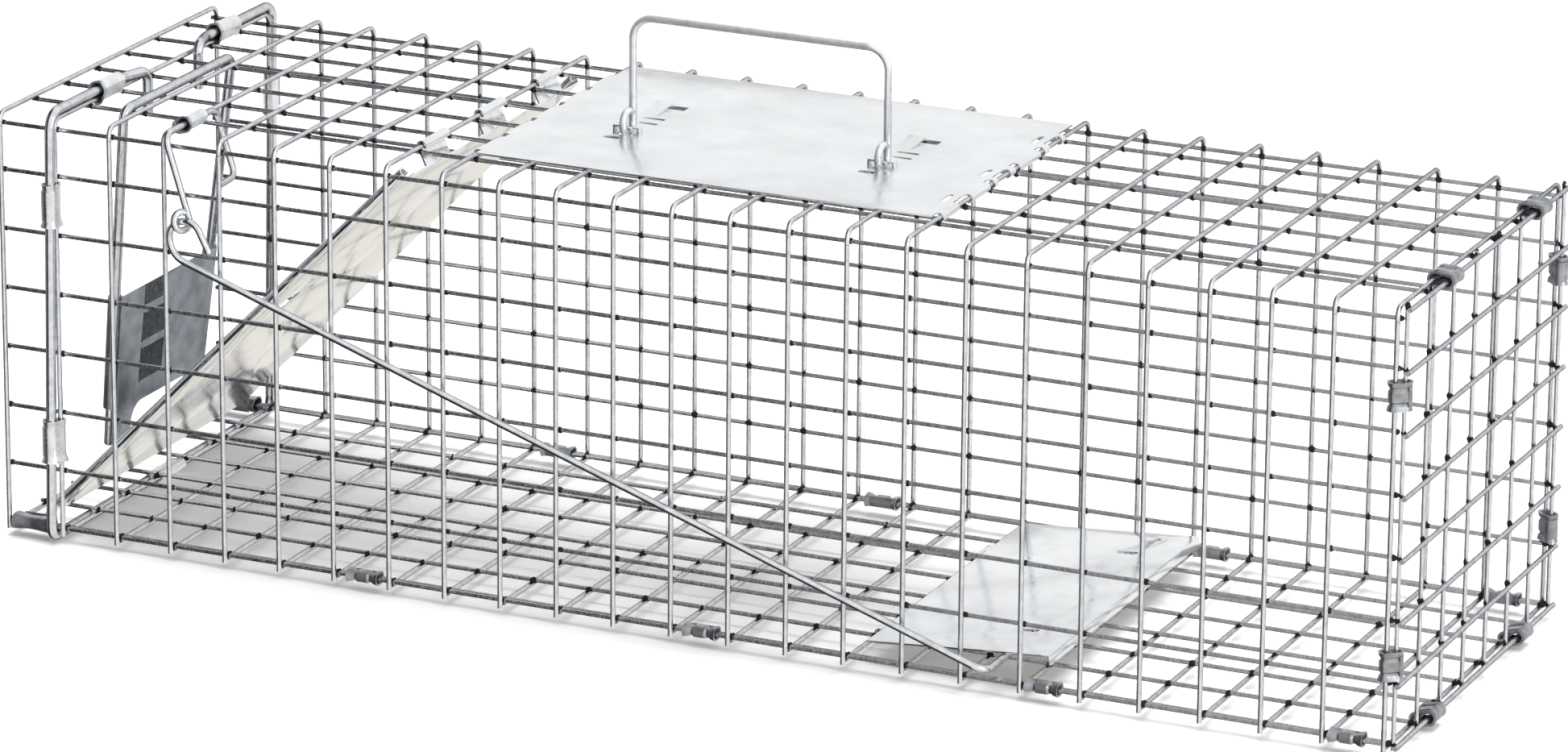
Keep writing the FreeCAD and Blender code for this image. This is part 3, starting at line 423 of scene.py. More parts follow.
def finishes():
    """Every finish by name, made once."""
    colours = bpy.context.scene.trap_colours
    made = bpy.data.materials
    if "mesh wire" not in made:
        drawn_wire("mesh wire", colours.wire, 0.22)
        drawn_wire("bright rod", colours.rod, 0.17)
        drawn_wire("plated rod", colours.rod, 0.14, 0.65)
        zinc("rolled sleeve", colours.sheet, 0.16, 0.30, 160, 900, (0.10 * MM, 0.03 * MM))
        zinc("dark clip", colours.clip, 0.35, 0.38, 220, 1200, (0.12 * MM, 0.04 * MM))
        zinc("lock plate zinc", colours.plate, 0.30, 0.36, 130, 1100, (0.05 * MM, 0.03 * MM))
        spangled_sheet("door sheet", colours.sheet, 0.11, 0.07 * MM)
        spangled_sheet("roof sheet", colours.sheet, 0.24, 0.30 * MM)
        spangled_sheet("treadle sheet", colours.sheet, 0.17, 0.25 * MM)
        # painted shade for the lock plate's recess floors and slits
        painted_recess_shade("pressed panel", (0.16, 0.17, 0.18))
        painted_recess_shade("dark slit", (0.012, 0.012, 0.013))
        # weld scale with painted shadow at the wire crossings
        weld_scale_and_painted_shadow("weld scale")
        studio_paper("studio paper", colours.floor)
    return made


# ---------------------------------------------------------------- mesh helpers
def rounded_path(points, radii, steps):
    """Points of straight runs joined by tangent arcs."""
    path = [points[0]]
    for before, corner, after, radius in zip(points, points[1:], points[2:], radii):
        back = (before - corner).normalized()
        ahead = (after - corner).normalized()
        half_angle = back.angle(ahead) / 2
        reach = radius * cos(half_angle) / sin(half_angle)
        centre = corner + (back + ahead).normalized() * (radius / sin(half_angle))
        start = corner + back * reach - centre
        turn = pi - 2 * half_angle
        axis = back.cross(start).normalized()
        path += [centre + Quaternion(axis, turn * step / steps) @ start for step in range(steps + 1)]
    path.append(points[-1])
    return path


def ring_frames(path):
    """A direction and a normal at each point, carried along without twist."""
    frames = []
    normal = None
    for index, point in enumerate(path):
        ahead = path[min(index + 1, len(path) - 1)] - point
        behind = point - path[max(index - 1, 0)]
        along = (ahead.normalized() + behind.normalized()).normalized()
        if normal is None:
            normal = along.orthogonal().normalized()
        normal = (normal - along * normal.dot(along)).normalized()
        frames.append((point, along, normal))
    return frames


def rod_mesh(path, diameter, sides):
    """Vertices and faces of a round bar along PATH, with a small chamfer at each end."""
    radius = diameter / 2
    chamfer = radius * ROD_CHAMFER
    frames = ring_frames(path)
    first, last = frames[0], frames[-1]
    rings = [(first[0], first[1], first[2], radius - chamfer)]
    rings.append((first[0] + first[1] * chamfer, first[1], first[2], radius))
    rings += [(point, along, normal, radius) for point, along, normal in frames[1:-1]]
    rings.append((last[0] - last[1] * chamfer, last[1], last[2], radius))
    rings.append((last[0], last[1], last[2], radius - chamfer))
    vertices = []
    for point, along, normal, size in rings:
        across = along.cross(normal)
        for side in range(sides):
            angle = 2 * pi * side / sides
            vertices.append(point + (normal * cos(angle) + across * sin(angle)) * size)
    faces = []
    for ring in range(len(rings) - 1):
        for side in range(sides):
            here = ring * sides + side
            beside = ring * sides + (side + 1) % sides
            faces.append((here, beside, beside + sides, here + sides))
    faces.append(tuple(reversed(range(sides))))
    faces.append(tuple(range((len(rings) - 1) * sides, len(rings) * sides)))
    return vertices, faces


def band_outline(first, first_radius, second, second_radius, axis, growth, steps=12):
    """The outline of a strip pulled round two parallel bars, grown outward by GROWTH."""
    along = (second - first).normalized()
    across = axis.cross(along)
    lean = asin((first_radius - second_radius) / (second - first).length)
    outline = []
    for centre, radius, start, sweep in ((second, second_radius, pi / 2 - lean, -(pi - 2 * lean)),
                                         (first, first_radius, -pi / 2 + lean, -(pi + 2 * lean))):
        for step in range(steps + 1):
            angle = start + sweep * step / steps
            outline.append(centre + (along * cos(angle) + across * sin(angle)) * (radius + growth))
    return outline


def sleeve_mesh(first, first_radius, second, second_radius, wall, axis, length, stations):
    """A rolled strip round two bars. STATIONS are (share of the length, how far it swells there)."""
    axis = axis.normalized()
    vertices = []
    for growth_base in (0.0, wall):
        for share, swell in stations:
            outline = band_outline(first, first_radius, second, second_radius, axis, growth_base + swell)
            vertices += [point + axis * (length * share) for point in outline]
    size = len(vertices) // (2 * len(stations))
    rows = len(stations)
    faces = []
    for row in range(rows - 1):
        for index in range(size):
            beside = (index + 1) % size
            here, ahead = row * size, (row + 1) * size
            inner = [here + index, here + beside, ahead + beside, ahead + index]
            outer = [value + rows * size for value in inner]
            faces.append(tuple(inner))
            faces.append(tuple(reversed(outer)))
    for row, turned in ((0, True), (rows - 1, False)):
        here, outside = row * size, (rows + row) * size
        for index in range(size):
            beside = (index + 1) % size
            rim = (here + index, here + beside, outside + beside, outside + index)
            faces.append(tuple(reversed(rim)) if turned else rim)
    return vertices, faces


def flap_mesh(first, first_radius, second, second_radius, lift, wall, axis, length, start, end):
    """The overlapping end of a rolled strip: part of the outline, lying on the sleeve."""
    axis = axis.normalized()
    inner = band_outline(first, first_radius, second, second_radius, axis, lift)[start:end]
    outer = band_outline(first, first_radius, second, second_radius, axis, lift + wall)[start:end]
    profile = inner + outer[::-1]
    count = len(profile)
    vertices = [point + axis * (length * share) for share in (-0.5, 0.5) for point in profile]
    faces = []
    for index in range(count):
        beside = (index + 1) % count
        faces.append((index, beside, beside + count, index + count))
    half = len(inner)
    for step in range(half - 1):
        quad = (step, step + 1, count - 2 - step, count - 1 - step)
        faces.append(tuple(reversed(quad)))
        faces.append(tuple(value + count for value in quad))
    return vertices, faces


def joined(parts):
    """Several vertex and face lists as one."""
    vertices, faces = [], []
    for part_vertices, part_faces in parts:
        shift = len(vertices)
        vertices += part_vertices
        faces += [tuple(index + shift for index in face) for face in part_faces]
    return vertices, faces


def finish_piece(piece, body, nodes=(), sharp=ROD_SHARP):
    """Smooth the piece's round faces, hang it on its body and hide the nodes it stands for."""
    piece.data.shade_smooth()
    piece.data.set_sharp_from_angle(angle=sharp)
    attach(piece, body)
    if nodes:
        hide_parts(*nodes)
    return piece


def linked(name, data):
    """A new object of the scene that holds DATA."""
    item = bpy.data.objects.new(name, data)
    bpy.context.scene.collection.objects.link(item)
    return item


def new_piece(name, shape, material, body, nodes=()):
    """A mesh piece from vertices and faces, with its faces turned outward."""
    mesh = bpy.data.meshes.new(name)
    mesh.from_pydata([tuple(point) for point in shape[0]], [], shape[1])
    editor = bmesh.new()
    editor.from_mesh(mesh)
    bmesh.ops.recalc_face_normals(editor, faces=editor.faces)
    editor.to_mesh(mesh)
    editor.free()
    mesh.materials.append(finishes()[material])
    return finish_piece(linked(name, mesh), body, nodes)


def from_node(name, node, material, rounding):
    """A copy of a sheet metal node with its corners joined and its cut edges rounded by ROUNDING."""
    mesh = frame["nodes"][node].data.copy()
    mesh.name = name
    editor = bmesh.new()
    editor.from_mesh(mesh)
    bmesh.ops.remove_doubles(editor, verts=editor.verts, dist=MERGE_REACH)
    bmesh.ops.dissolve_limit(editor, angle_limit=FLAT_ANGLE, verts=editor.verts, edges=editor.edges)
    corners = [edge for edge in editor.edges
               if len(edge.link_faces) == 2 and edge.calc_face_angle(0) > CORNER_ANGLE]
    bmesh.ops.bevel(editor, geom=corners, offset=rounding, segments=2, affect="EDGES", profile=0.6,
                    clamp_overlap=True)
    bmesh.ops.triangulate(editor, faces=editor.faces)
    editor.to_mesh(mesh)
    editor.free()
    mesh.materials.clear()
    mesh.materials.append(finishes()[material])
    return finish_piece(linked(name, mesh), frame["nodes"][node]["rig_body"], (node,), SHEET_SHARP)


def paint_recess_shade(piece, origin, inward, layers):
    """Painted shade: give the faces that look back along INWARD a dark finish by depth below ORIGIN: (least
    depth, finish).
    """
    for low, material in layers:
        piece.data.materials.append(finishes()[material])
        number = len(piece.data.materials) - 1
        for face in piece.data.polygons:
            depth = (face.center - origin).dot(inward)
            if low <= depth < SHEET and face.normal.dot(inward) < OUTER_FACE:
                face.material_index = number


# ---------------------------------------------------------------- node trees for what repeats
def node_tree(name, inputs):
    """A geometry tree with named inputs, its group nodes and a maker of further nodes."""
    tree = bpy.data.node_groups.new(name, "GeometryNodeTree")
    for label, kind in inputs:
        tree.interface.new_socket(name=label, in_out="INPUT", socket_type=kind)
    tree.interface.new_socket(name="Result", in_out="OUTPUT", socket_type="NodeSocketGeometry")
    source = tree.nodes.new("NodeGroupInput")
    result = tree.nodes.new("NodeGroupOutput")

    def add(kind, **links):
        node = tree.nodes.new(kind)
        for socket, value in links.items():
            target = node.inputs[socket.replace("_", " ")]
            if isinstance(value, bpy.types.NodeSocket):
                tree.links.new(value, target)
            else:
                target.default_value = value
        return node

    return tree, source.outputs, result.inputs, add


def random_vector(add, seed, low, high):
    """A random vector for each point, between LOW and HIGH."""
    node = add("FunctionNodeRandomValue", Seed=seed)
    node.data_type = "FLOAT_VECTOR"
    node.inputs[0].default_value = low
    node.inputs[1].default_value = high
    return node.outputs[0]


def scattered_points(add, count, step, looseness):
    """A line of points, each a little off its place."""
    line = add("GeometryNodeMeshLine", Count=count, Offset=step)
    scaled = add("ShaderNodeVectorMath")
    scaled.operation = "SCALE"
    scaled.id_data.links.new(random_vector(add, 7, (-1, -1, -1), (1, 1, 1)), scaled.inputs[0])
    scaled.id_data.links.new(looseness, scaled.inputs["Scale"])
    moved = add("GeometryNodeSetPosition", Geometry=line.outputs["Mesh"], Offset=scaled.outputs[0])
    return moved.outputs["Geometry"]


def end_tree(tree, add, copies, finish, result):
    """Make the copies real, give them their finish and hand them on."""
    real = add("GeometryNodeRealizeInstances", Geometry=copies.outputs["Instances"])
    painted = add("GeometryNodeSetMaterial", Geometry=real.outputs["Geometry"], Material=finish)
    tree.links.new(painted.outputs["Geometry"], result["Result"])
    return tree


def wire_row_tree():
    """Round wires along a path, repeated COUNT times, STEP apart."""
    found = bpy.data.node_groups.get("Row of wires")
    if found:
        return found
    tree, given, result, add = node_tree("Row of wires", [
        ("Path", "NodeSocketGeometry"), ("Count", "NodeSocketInt"), ("Step", "NodeSocketVector"),
        ("Thickness", "NodeSocketFloat"), ("Looseness", "NodeSocketFloat"), ("Finish", "NodeSocketMaterial")])
    curve = add("GeometryNodeMeshToCurve", Mesh=given["Path"])
    radius = add("ShaderNodeMath")
    radius.operation = "DIVIDE"
    tree.links.new(given["Thickness"], radius.inputs[0])
    radius.inputs[1].default_value = 2.0
    profile = add("GeometryNodeCurvePrimitiveCircle", Resolution=12, Radius=radius.outputs[0])
    wire = add("GeometryNodeCurveToMesh", Curve=curve.outputs["Curve"],
               Profile_Curve=profile.outputs["Curve"], Fill_Caps=True)
    points = scattered_points(add, given["Count"], given["Step"], given["Looseness"])
    copies = add("GeometryNodeInstanceOnPoints", Points=points, Instance=wire.outputs["Mesh"])
    return end_tree(tree, add, copies, given["Finish"], result)


def weld_grid_tree():
    """One weld mark at every crossing of two rows of wires, each sized a little differently."""
    found = bpy.data.node_groups.get("Grid of welds")
    if found:
        return found
    tree, given, result, add = node_tree("Grid of welds", [
        ("Mark", "NodeSocketGeometry"), ("Count", "NodeSocketInt"), ("Step", "NodeSocketVector"),
        ("Rows", "NodeSocketInt"), ("Row step", "NodeSocketVector"), ("Finish", "NodeSocketMaterial")])
    row = add("GeometryNodeMeshLine", Count=given["Count"], Offset=given["Step"])
    rows = add("GeometryNodeMeshLine", Count=given["Rows"], Offset=given["Row step"])
    grid = add("GeometryNodeInstanceOnPoints", Points=rows.outputs["Mesh"], Instance=row.outputs["Mesh"])
    places = add("GeometryNodeRealizeInstances", Geometry=grid.outputs["Instances"])
    size = random_vector(add, 3, (0.55, 0.8, 0.8), (1.15, 1.12, 1.12))
    marks = add("GeometryNodeInstanceOnPoints", Points=places.outputs["Geometry"], Instance=given["Mark"],
                Scale=size)
    return end_tree(tree, add, marks, given["Finish"], result)


def grown_from(name, vertices, edges, faces, tree, values):
    """Run a geometry tree on a small base mesh and keep its result as a plain mesh object at the origin."""
    base_mesh = bpy.data.meshes.new(name + "_base")
    base_mesh.from_pydata([tuple(point) for point in vertices], edges, faces)
    base = linked(name + "_base", base_mesh)
    modifier = base.modifiers.new("grow", "NODES")
    modifier.node_group = tree
    sockets = {item.name: item.identifier for item in tree.interface.items_tree if item.in_out == "INPUT"}
    for label, value in values.items():
        modifier[sockets[label]] = value
    bpy.context.view_layer.update()
    evaluated = base.evaluated_get(bpy.context.evaluated_depsgraph_get())
    mesh = bpy.data.meshes.new_from_object(evaluated)
    mesh.name = name
    base.modifiers.remove(modifier)
    bpy.data.objects.remove(base)
    bpy.data.meshes.remove(base_mesh)
    if not mesh.polygons:
        raise RuntimeError("the tree for " + name + " gave no faces")
    return linked(name, mesh)


def wire_row(name, path, count, step, thickness, nodes=()):
    """A row of equal wires of the cage as one piece."""
    edges = [(index, index + 1) for index in range(len(path) - 1)]
    piece = grown_from(name, path, edges, [], wire_row_tree(), {
        "Count": count, "Step": tuple(step), "Thickness": thickness,
        "Looseness": bpy.context.scene.trap_sizes.looseness, "Finish": finishes()["mesh wire"]})
    return finish_piece(piece, "cage", nodes, WIRE_SHARP)


def hoop_wires(name, path, nodes=()):
    """A wire along PATH at every hoop's place."""
    wire_row(name, path, HOOPS, (PITCH, 0, 0), bpy.context.scene.trap_sizes.hoop_wire, nodes)


def line_wires(name, across, level, rows, row_step, nodes=()):
    """A row of line wires along the cage."""
    path = spaced((FRONT_X, across, level), (PITCH, 0, 0), HOOPS, OVERHANG)
    wire_row(name, path, rows, row_step, bpy.context.scene.trap_sizes.line_wire, nodes)


def weld_rows(name, start, along, count, step, rows, row_step):
    """Weld marks for two crossing rows: each mark is drawn out ALONG the inner wire."""
    length = bpy.context.scene.trap_sizes.weld_length
    editor = bmesh.new()
    bmesh.ops.create_icosphere(editor, subdivisions=1, radius=0.5)
    turn = Vector((1, 0, 0)).rotation_difference(along).to_matrix().to_4x4()
    shape = turn @ Matrix.Diagonal((length, WELD_WIDTH, WELD_WIDTH, 1))
    bmesh.ops.transform(editor, matrix=shape, verts=editor.verts)
    editor.verts.index_update()
    vertices = [vertex.co.copy() for vertex in editor.verts]
    faces = [tuple(vertex.index for vertex in face.verts) for face in editor.faces]
    editor.free()
    # the marks carry weld scale and painted shadow
    piece = grown_from(name, vertices, [], faces, weld_grid_tree(), {
        "Count": count, "Step": tuple(step), "Rows": rows, "Row step": tuple(row_step),
        "Finish": finishes()["weld scale"]})
    piece.data.transform(Matrix.Translation(start))
    return finish_piece(piece, "cage", (), WELD_SHARP)


def line_welds(name, across, level, rows, row_step):
    """The weld marks of every hoop on a row of line wires."""
    start = Vector((FRONT_X + WELD_SHIFT, across, level))
    weld_rows(name, start, Vector((1, 0, 0)), HOOPS, (PITCH, 0, 0), rows, row_step)


# ---------------------------------------------------------------- pieces
class TRAP_OT_side_walls(bpy.types.Operator):
    """Both side walls: uprights outside, line wires inside"""
    bl_idname = "trap.side_walls"
    bl_label = "Side walls"

    def execute(self, context):
        rise = (SPLIT_Z + UPRIGHT_LAP - FOOT_Z) / UPRIGHT_STEPS
        for side, name in ((-1, "near_side"), (1, "far_side")):
            across = MIDDLE.y + side * SIDE_Y
            inner = across - side * WELD_STEP
            upright = spaced((FRONT_X, across, FOOT_Z), (0, 0, rise), UPRIGHT_STEPS + 1)
            hoop_wires(name + "_uprights", upright, (name + "_mesh",))
            line_wires(name + "_rows", inner, FLOOR_Z, SQUARES_HIGH, (0, 0, PITCH))
            line_welds(name + "_welds", inner, FLOOR_Z, SQUARES_HIGH, (0, 0, PITCH))
        return {"FINISHED"}


class TRAP_OT_roof(bpy.types.Operator):
    """The roof: hoop tops with rounded shoulders, line wires under them"""
    bl_idname = "trap.roof"
    bl_label = "Roof"

    def execute(self, context):
        near = MIDDLE.y - SIDE_Y
        far = MIDDLE.y + SIDE_Y
        corners = [Vector((FRONT_X, y, z)) for y, z in
                   ((near, SPLIT_Z), (near, ROOF_Z), (far, ROOF_Z), (far, SPLIT_Z))]
        hoop_wires("roof_hoops", rounded_path(corners, [HOOP_BEND, HOOP_BEND], 6), ("roof_mesh",))
        rows = (near + ROOF_FIRST, ROOF_Z - WELD_STEP, ROOF_ROWS, (0, ROOF_PITCH, 0))
        line_wires("roof_rows", *rows)
        line_welds("roof_welds", *rows)
        edges = (near + WELD_STEP, ROOF_Z - SHOULDER_DROP, 2, (0, 2 * (SIDE_Y - WELD_STEP), 0))
        line_wires("roof_edge_rows", *edges)
        line_welds("roof_edge_welds", *edges)
        return {"FINISHED"}


class TRAP_OT_floor_panel(bpy.types.Operator):
    """The floor panel: line wires over cross wires"""
    bl_idname = "trap.floor_panel"
    bl_label = "Floor panel"

    def execute(self, context):
        near = MIDDLE.y - FLOOR_WIDTH / 2
        gap = FLOOR_WIDTH / (FLOOR_ROWS - 1)
        line_wires("floor_rows", near, FLOOR_Z, FLOOR_ROWS, (0, gap, 0), ("floor_mesh",))
        cross = spaced((FRONT_X, near, FLOOR_Z - WELD_STEP), (0, gap, 0), FLOOR_ROWS,
                       context.scene.trap_sizes.line_wire / 2)
        hoop_wires("floor_cross_wires", cross)
        line_welds("floor_welds", near, FLOOR_Z - WELD_SINK, FLOOR_ROWS, (0, gap, 0))
        return {"FINISHED"}


class TRAP_OT_rear_panel(bpy.types.Operator):
    """The closed end: uprights inside, level wires outside"""
    bl_idname = "trap.rear_panel"
    bl_label = "Rear panel"

    def execute(self, context):
        sizes = context.scene.trap_sizes
        half = SIDE_Y - REAR_INSET
        near = MIDDLE.y - half
        low = FLOOR_Z - REAR_LOW_DROP
        across = (0, 2 * half / (REAR_ROWS - 1), 0)
        up = (0, 0, (ROOF_Z - REAR_HIGH_DROP - low) / (REAR_ROWS - 1))
        upright = spaced((REAR_MESH_X, near, low), up, REAR_ROWS, REAR_UPRIGHT_OVERHANG)
        wire_row("rear_uprights", upright, REAR_ROWS, across, sizes.line_wire, ("rear_mesh",))
        level = spaced((REAR_MESH_X + WELD_STEP, near, low), across, REAR_ROWS, REAR_LEVEL_OVERHANG)
        wire_row("rear_level_wires", level, REAR_ROWS, up, sizes.hoop_wire)
        weld_rows("rear_welds", Vector((REAR_MESH_X, near, low + REAR_WELD_RISE)), Vector((0, 0, 1)),
                  REAR_ROWS, across, REAR_ROWS, up)
        return {"FINISHED"}


def frame_x(level):
    """The frame rod's uprights lean forward on the way down."""
    return FRAME_TOP_X + (FRAME_FOOT_X - FRAME_TOP_X) * (FRAME_TOP_Z - level) / (FRAME_TOP_Z - FRAME_FOOT_Z)


class TRAP_OT_frame_rod(bpy.types.Operator):
    """The rod round the mouth, with its two hooked ends"""
    bl_idname = "trap.frame_rod"
    bl_label = "Frame rod"

    def execute(self, context):
        sizes = context.scene.trap_sizes
        near = MIDDLE.y - FRAME_SIDE_Y
        far = MIDDLE.y + FRAME_SIDE_Y
        tip = ROOF_Z - HOOK_DROP
        near_hook, far_hook = [MIDDLE.y + across for across in HOOKS_Y]
        points = [Vector(point) for point in (
            (HOOK_X, near_hook, tip), (HOOK_X, near_hook, FRAME_TOP_Z),
            (FRAME_TOP_X, near_hook - HOOK_JOG, FRAME_TOP_Z), (FRAME_TOP_X, near, FRAME_TOP_Z),
            (FRAME_FOOT_X, near, FRAME_FOOT_Z), (FRAME_FOOT_X, far, FRAME_FOOT_Z),
            (FRAME_TOP_X, far, FRAME_TOP_Z), (FRAME_TOP_X, far_hook + HOOK_JOG, FRAME_TOP_Z),
            (HOOK_X, far_hook, FRAME_TOP_Z), (HOOK_X, far_hook, tip))]
        shape = rod_mesh(rounded_path(points, FRAME_BENDS, 10), sizes.frame_rod, sizes.round_sides)
        new_piece("mouth_frame_rod", shape, "bright rod", "cage", ("front_frame_rod",))
        return {"FINISHED"}


def rolled(first, first_radius, second, second_radius, wall, axis, length, pattern, flap):
    """A rolled and crimped strip with its overlapping end; FLAP is the part of the outline it covers."""
    bars = (Vector(first), first_radius, Vector(second), second_radius)
    stations = [(share, swell * MM) for share, swell in pattern]
    return joined([
        sleeve_mesh(*bars, wall, Vector(axis), length, stations),
        flap_mesh(*bars, wall * FLAP_LIFT, wall * FLAP_WALL, Vector(axis), length * FLAP_LENGTH, *flap)])


def rolled_sleeve(rod, rod_hole, hoop, hoop_hole, axis, length=SLEEVE_LENGTH):
    """A sleeve round a rod and a hoop."""
    return rolled(rod, rod_hole, hoop, hoop_hole, SHEET, axis, length, SLEEVE_STATIONS, SLEEVE_FLAP)


def crimped_clip(first, second, hole, wall, axis, length, stations=CLIP_STATIONS):
    """A clip round two wires of the same thickness."""
    return rolled(first, hole, second, hole, wall, axis, length, stations, CLIP_FLAP)


class TRAP_OT_sleeves(bpy.types.Operator):
    """The rolled sleeves that hold the frame rod and the trigger to the cage"""
    bl_idname = "trap.sleeves"
    bl_label = "Sleeves"

    def execute(self, context):
        rod_hole = FRAME_ROD / 2 + TOUCH_GAP
        hoop_hole = HOOP_WIRE / 2 + TOUCH_GAP
        shapes = {}
        for name, across in zip(("roof_sleeve_near", "roof_sleeve_far"), ROOF_SLEEVES_Y):
            y = MIDDLE.y + across
            shapes[name] = rolled_sleeve((FRAME_TOP_X, y, FRAME_TOP_Z), rod_hole, (FRAME_TOP_X, y, ROOF_Z),
                                         hoop_hole, (0, 1, 0))
        for side, name in ((-1, "side_sleeves_near"), (1, "side_sleeves_far")):
            parts = []
            for level in SIDE_SLEEVES_Z:
                rod = (frame_x(level), MIDDLE.y + side * FRAME_SIDE_Y, level)
                hoop = (FRAME_TOP_X, MIDDLE.y + side * SIDE_Y, level)
                parts.append(rolled_sleeve(rod, rod_hole + SIDE_SLEEVE_SLACK, hoop,
                                           hoop_hole + SIDE_SLEEVE_SLACK, (0, 0, 1)))
            shapes[name] = joined(parts)
        rod = Vector((FRAME_FOOT_X, MIDDLE.y, FRAME_FOOT_Z))
        cross = Vector((FRAME_TOP_X, MIDDLE.y, FLOOR_Z - WELD_STEP))
        shapes["floor_sleeve"] = sleeve_mesh(
            rod, rod_hole, cross, hoop_hole, SHEET, Vector((0, 1, 0)), FLOOR_SLEEVE_LENGTH,
            [(share, min(swell, 0.0) * MM) for share, swell in SLEEVE_STATIONS])
        y = MIDDLE.y + TRIGGER_SLEEVE_Y
        pivot = JOINTS["trigger_pivot"]
        shapes["trigger_sleeve"] = rolled_sleeve(
            (pivot.x, y, pivot.z), PIVOT_HOLE, (TRIGGER_HOOP_X, y, ROOF_Z), hoop_hole, (0, 1, 0),
            TRIGGER_SLEEVE_LENGTH)
        for name, shape in shapes.items():
            new_piece(name + "_rolled", shape, "rolled sleeve", "cage", (name,))
        return {"FINISHED"}


class TRAP_OT_clips(bpy.types.Operator):
    """The dark crimped clips that join the cage's panels"""
    bl_idname = "trap.clips"
    bl_label = "Clips"

    def execute(self, context):
        groups = {name: [] for name in (
            "floor_clips_near", "floor_clips_far", "front_corner_clips",
            "rear_clips_top", "rear_clips_near", "rear_clips_far", "rear_clips_bottom")}
        hole = LINE_WIRE / 2 + CLIP_GAP
        rear = (HOOP_WIRE / 2 + CLIP_GAP, THICK_SHEET)
        for side, end in ((-1, "near"), (1, "far")):
            wall_wire = MIDDLE + Vector((0, side * (SIDE_Y - WELD_STEP), FLOOR_Z))
            floor_wire = MIDDLE + Vector((0, side * FLOOR_WIDTH / 2, FLOOR_Z))
            for along in FLOOR_CLIPS_X:
                shift = Vector((along, 0, 0))
                groups["floor_clips_" + end].append(crimped_clip(
                    wall_wire + shift, floor_wire + shift, hole, SHEET, (1, 0, 0), FLOOR_CLIP_LENGTH))
            shift = Vector((CORNER_CLIP_X, 0, 0))
            aside = Vector((0, side * CORNER_CLIP_SHIFT, 0))
            groups["front_corner_clips"].append(crimped_clip(
                wall_wire + shift + aside, floor_wire + shift, CORNER_CLIP_HOLE, SHEET, (1, 0, 0),
                CORNER_CLIP_LENGTH, CORNER_STATIONS))
            for level in REAR_CLIPS_Z:
                groups["rear_clips_" + end].append(crimped_clip(
                    (REAR_X, MIDDLE.y + side * SIDE_Y, level),
                    (REAR_MESH_X, MIDDLE.y + side * (SIDE_Y - REAR_INSET), level), *rear, (0, 0, 1),
                    REAR_CLIP_LENGTH))
        outer_x = REAR_MESH_X + WELD_STEP
        for across in REAR_CLIPS_Y:
            for name, y, wire_z, edge_z in (
                    ("rear_clips_top", MIDDLE.y + across, ROOF_Z, ROOF_Z - REAR_HIGH_DROP),
                    ("rear_clips_bottom", MIDDLE.y + across + BOTTOM_CLIP_SHIFT, FLOOR_Z - WELD_STEP,
                     FLOOR_Z - REAR_LOW_DROP)):
                groups[name].append(crimped_clip((REAR_X, y, wire_z), (outer_x, y, edge_z), *rear, (0, 1, 0),
                                                 REAR_CLIP_LENGTH))
        for name, shapes in groups.items():
            new_piece(name + "_crimped", joined(shapes), "dark clip", "cage", (name,))
        return {"FINISHED"}


class TRAP_OT_door(bpy.types.Operator):
    """The sheet door with its rolled edges and tabs"""
    bl_idname = "trap.door"
    bl_label = "Door"

    def execute(self, context):
        from_node("door_sheet", "door_panel", "door sheet", EDGE_ROUNDING)
        return {"FINISHED"}


def lock_plane():
    """The directions down the lock frame's plane and forward of it."""
    lean = radians(LOCK_LEAN)
    return Vector((-sin(lean), 0, -cos(lean))), Vector((-cos(lean), 0, sin(lean)))


def lock_point(reach, across):
    """A point of the lock frame's plane, REACH down from its axis."""
    axis = JOINTS["lock_frame_hinge"]
    return Vector((axis.x, MIDDLE.y + across * MM, axis.z)) + lock_plane()[0] * reach * MM


class TRAP_OT_lock_frame(bpy.types.Operator):
    """The swinging lock frame: a bent rod and the plate wrapped round its legs"""
    bl_idname = "trap.lock_frame"
    bl_label = "Lock frame"

    def execute(self, context):
        sizes = context.scene.trap_sizes
        points = [lock_point(LOCK_REACH, LOCK_FOOT_Y[0]), lock_point(0, LOCK_BAR_Y[0]),
                  lock_point(0, LOCK_BAR_Y[1]), lock_point(LOCK_REACH, LOCK_FOOT_Y[1])]
        shape = rod_mesh(rounded_path(points, [LOCK_BEND] * 2, 10), sizes.lock_rod, sizes.round_sides)
        new_piece("lock_frame_rod", shape, "bright rod", "lock_frame", ("lock_rod",))
        plate = from_node("lock_frame_plate", "lock_plate", "lock plate zinc", PLATE_ROUNDING)
        inward = lock_plane()[1]
        rear = lock_point(0, 0) - inward * (LOCK_ROD / 2 + TOUCH_GAP + THICK_SHEET)
        # painted shade on the plate's recess floors and in its slits
        paint_recess_shade(plate, rear, inward, LOCK_SHADE_DEPTHS)
        return {"FINISHED"}


class TRAP_OT_trigger(bpy.types.Operator):
    """The trigger wire: a foot over the door, a pivot run, an arm and a closed eye"""
    bl_idname = "trap.trigger"
    bl_label = "Trigger"

    def execute(self, context):
        sizes = context.scene.trap_sizes
        pivot = JOINTS["trigger_pivot"]
        across = (EYE_LEVEL - EYE_DOWN * EYE_LEVEL.dot(EYE_DOWN)).normalized()
        square = EYE_DOWN.cross(across).normalized()
        points = [at(*point) for point in TRIGGER_FOOT]
        points += [Vector((pivot.x, MIDDLE.y + y * MM, pivot.z)) for y in (TRIGGER_ARM_Y, TRIGGER_SIDE_Y)]
        points.append(EYE_CENTRE + across * EYE_RADIUS)
        path = rounded_path(points, TRIGGER_BENDS, 8)
        for step in range(1, EYE_STEPS + 1):
            angle = EYE_STEP * step
            slide = square * (EYE_SLIDE * step / EYE_STEPS)
            path.append(EYE_CENTRE + slide + (across * cos(angle) + EYE_DOWN * sin(angle)) * EYE_RADIUS)
        shape = rod_mesh(path, sizes.trip_wire, sizes.round_sides)
        new_piece("trigger_wire", shape, "bright rod", "trigger", ("trigger",))
        return {"FINISHED"}


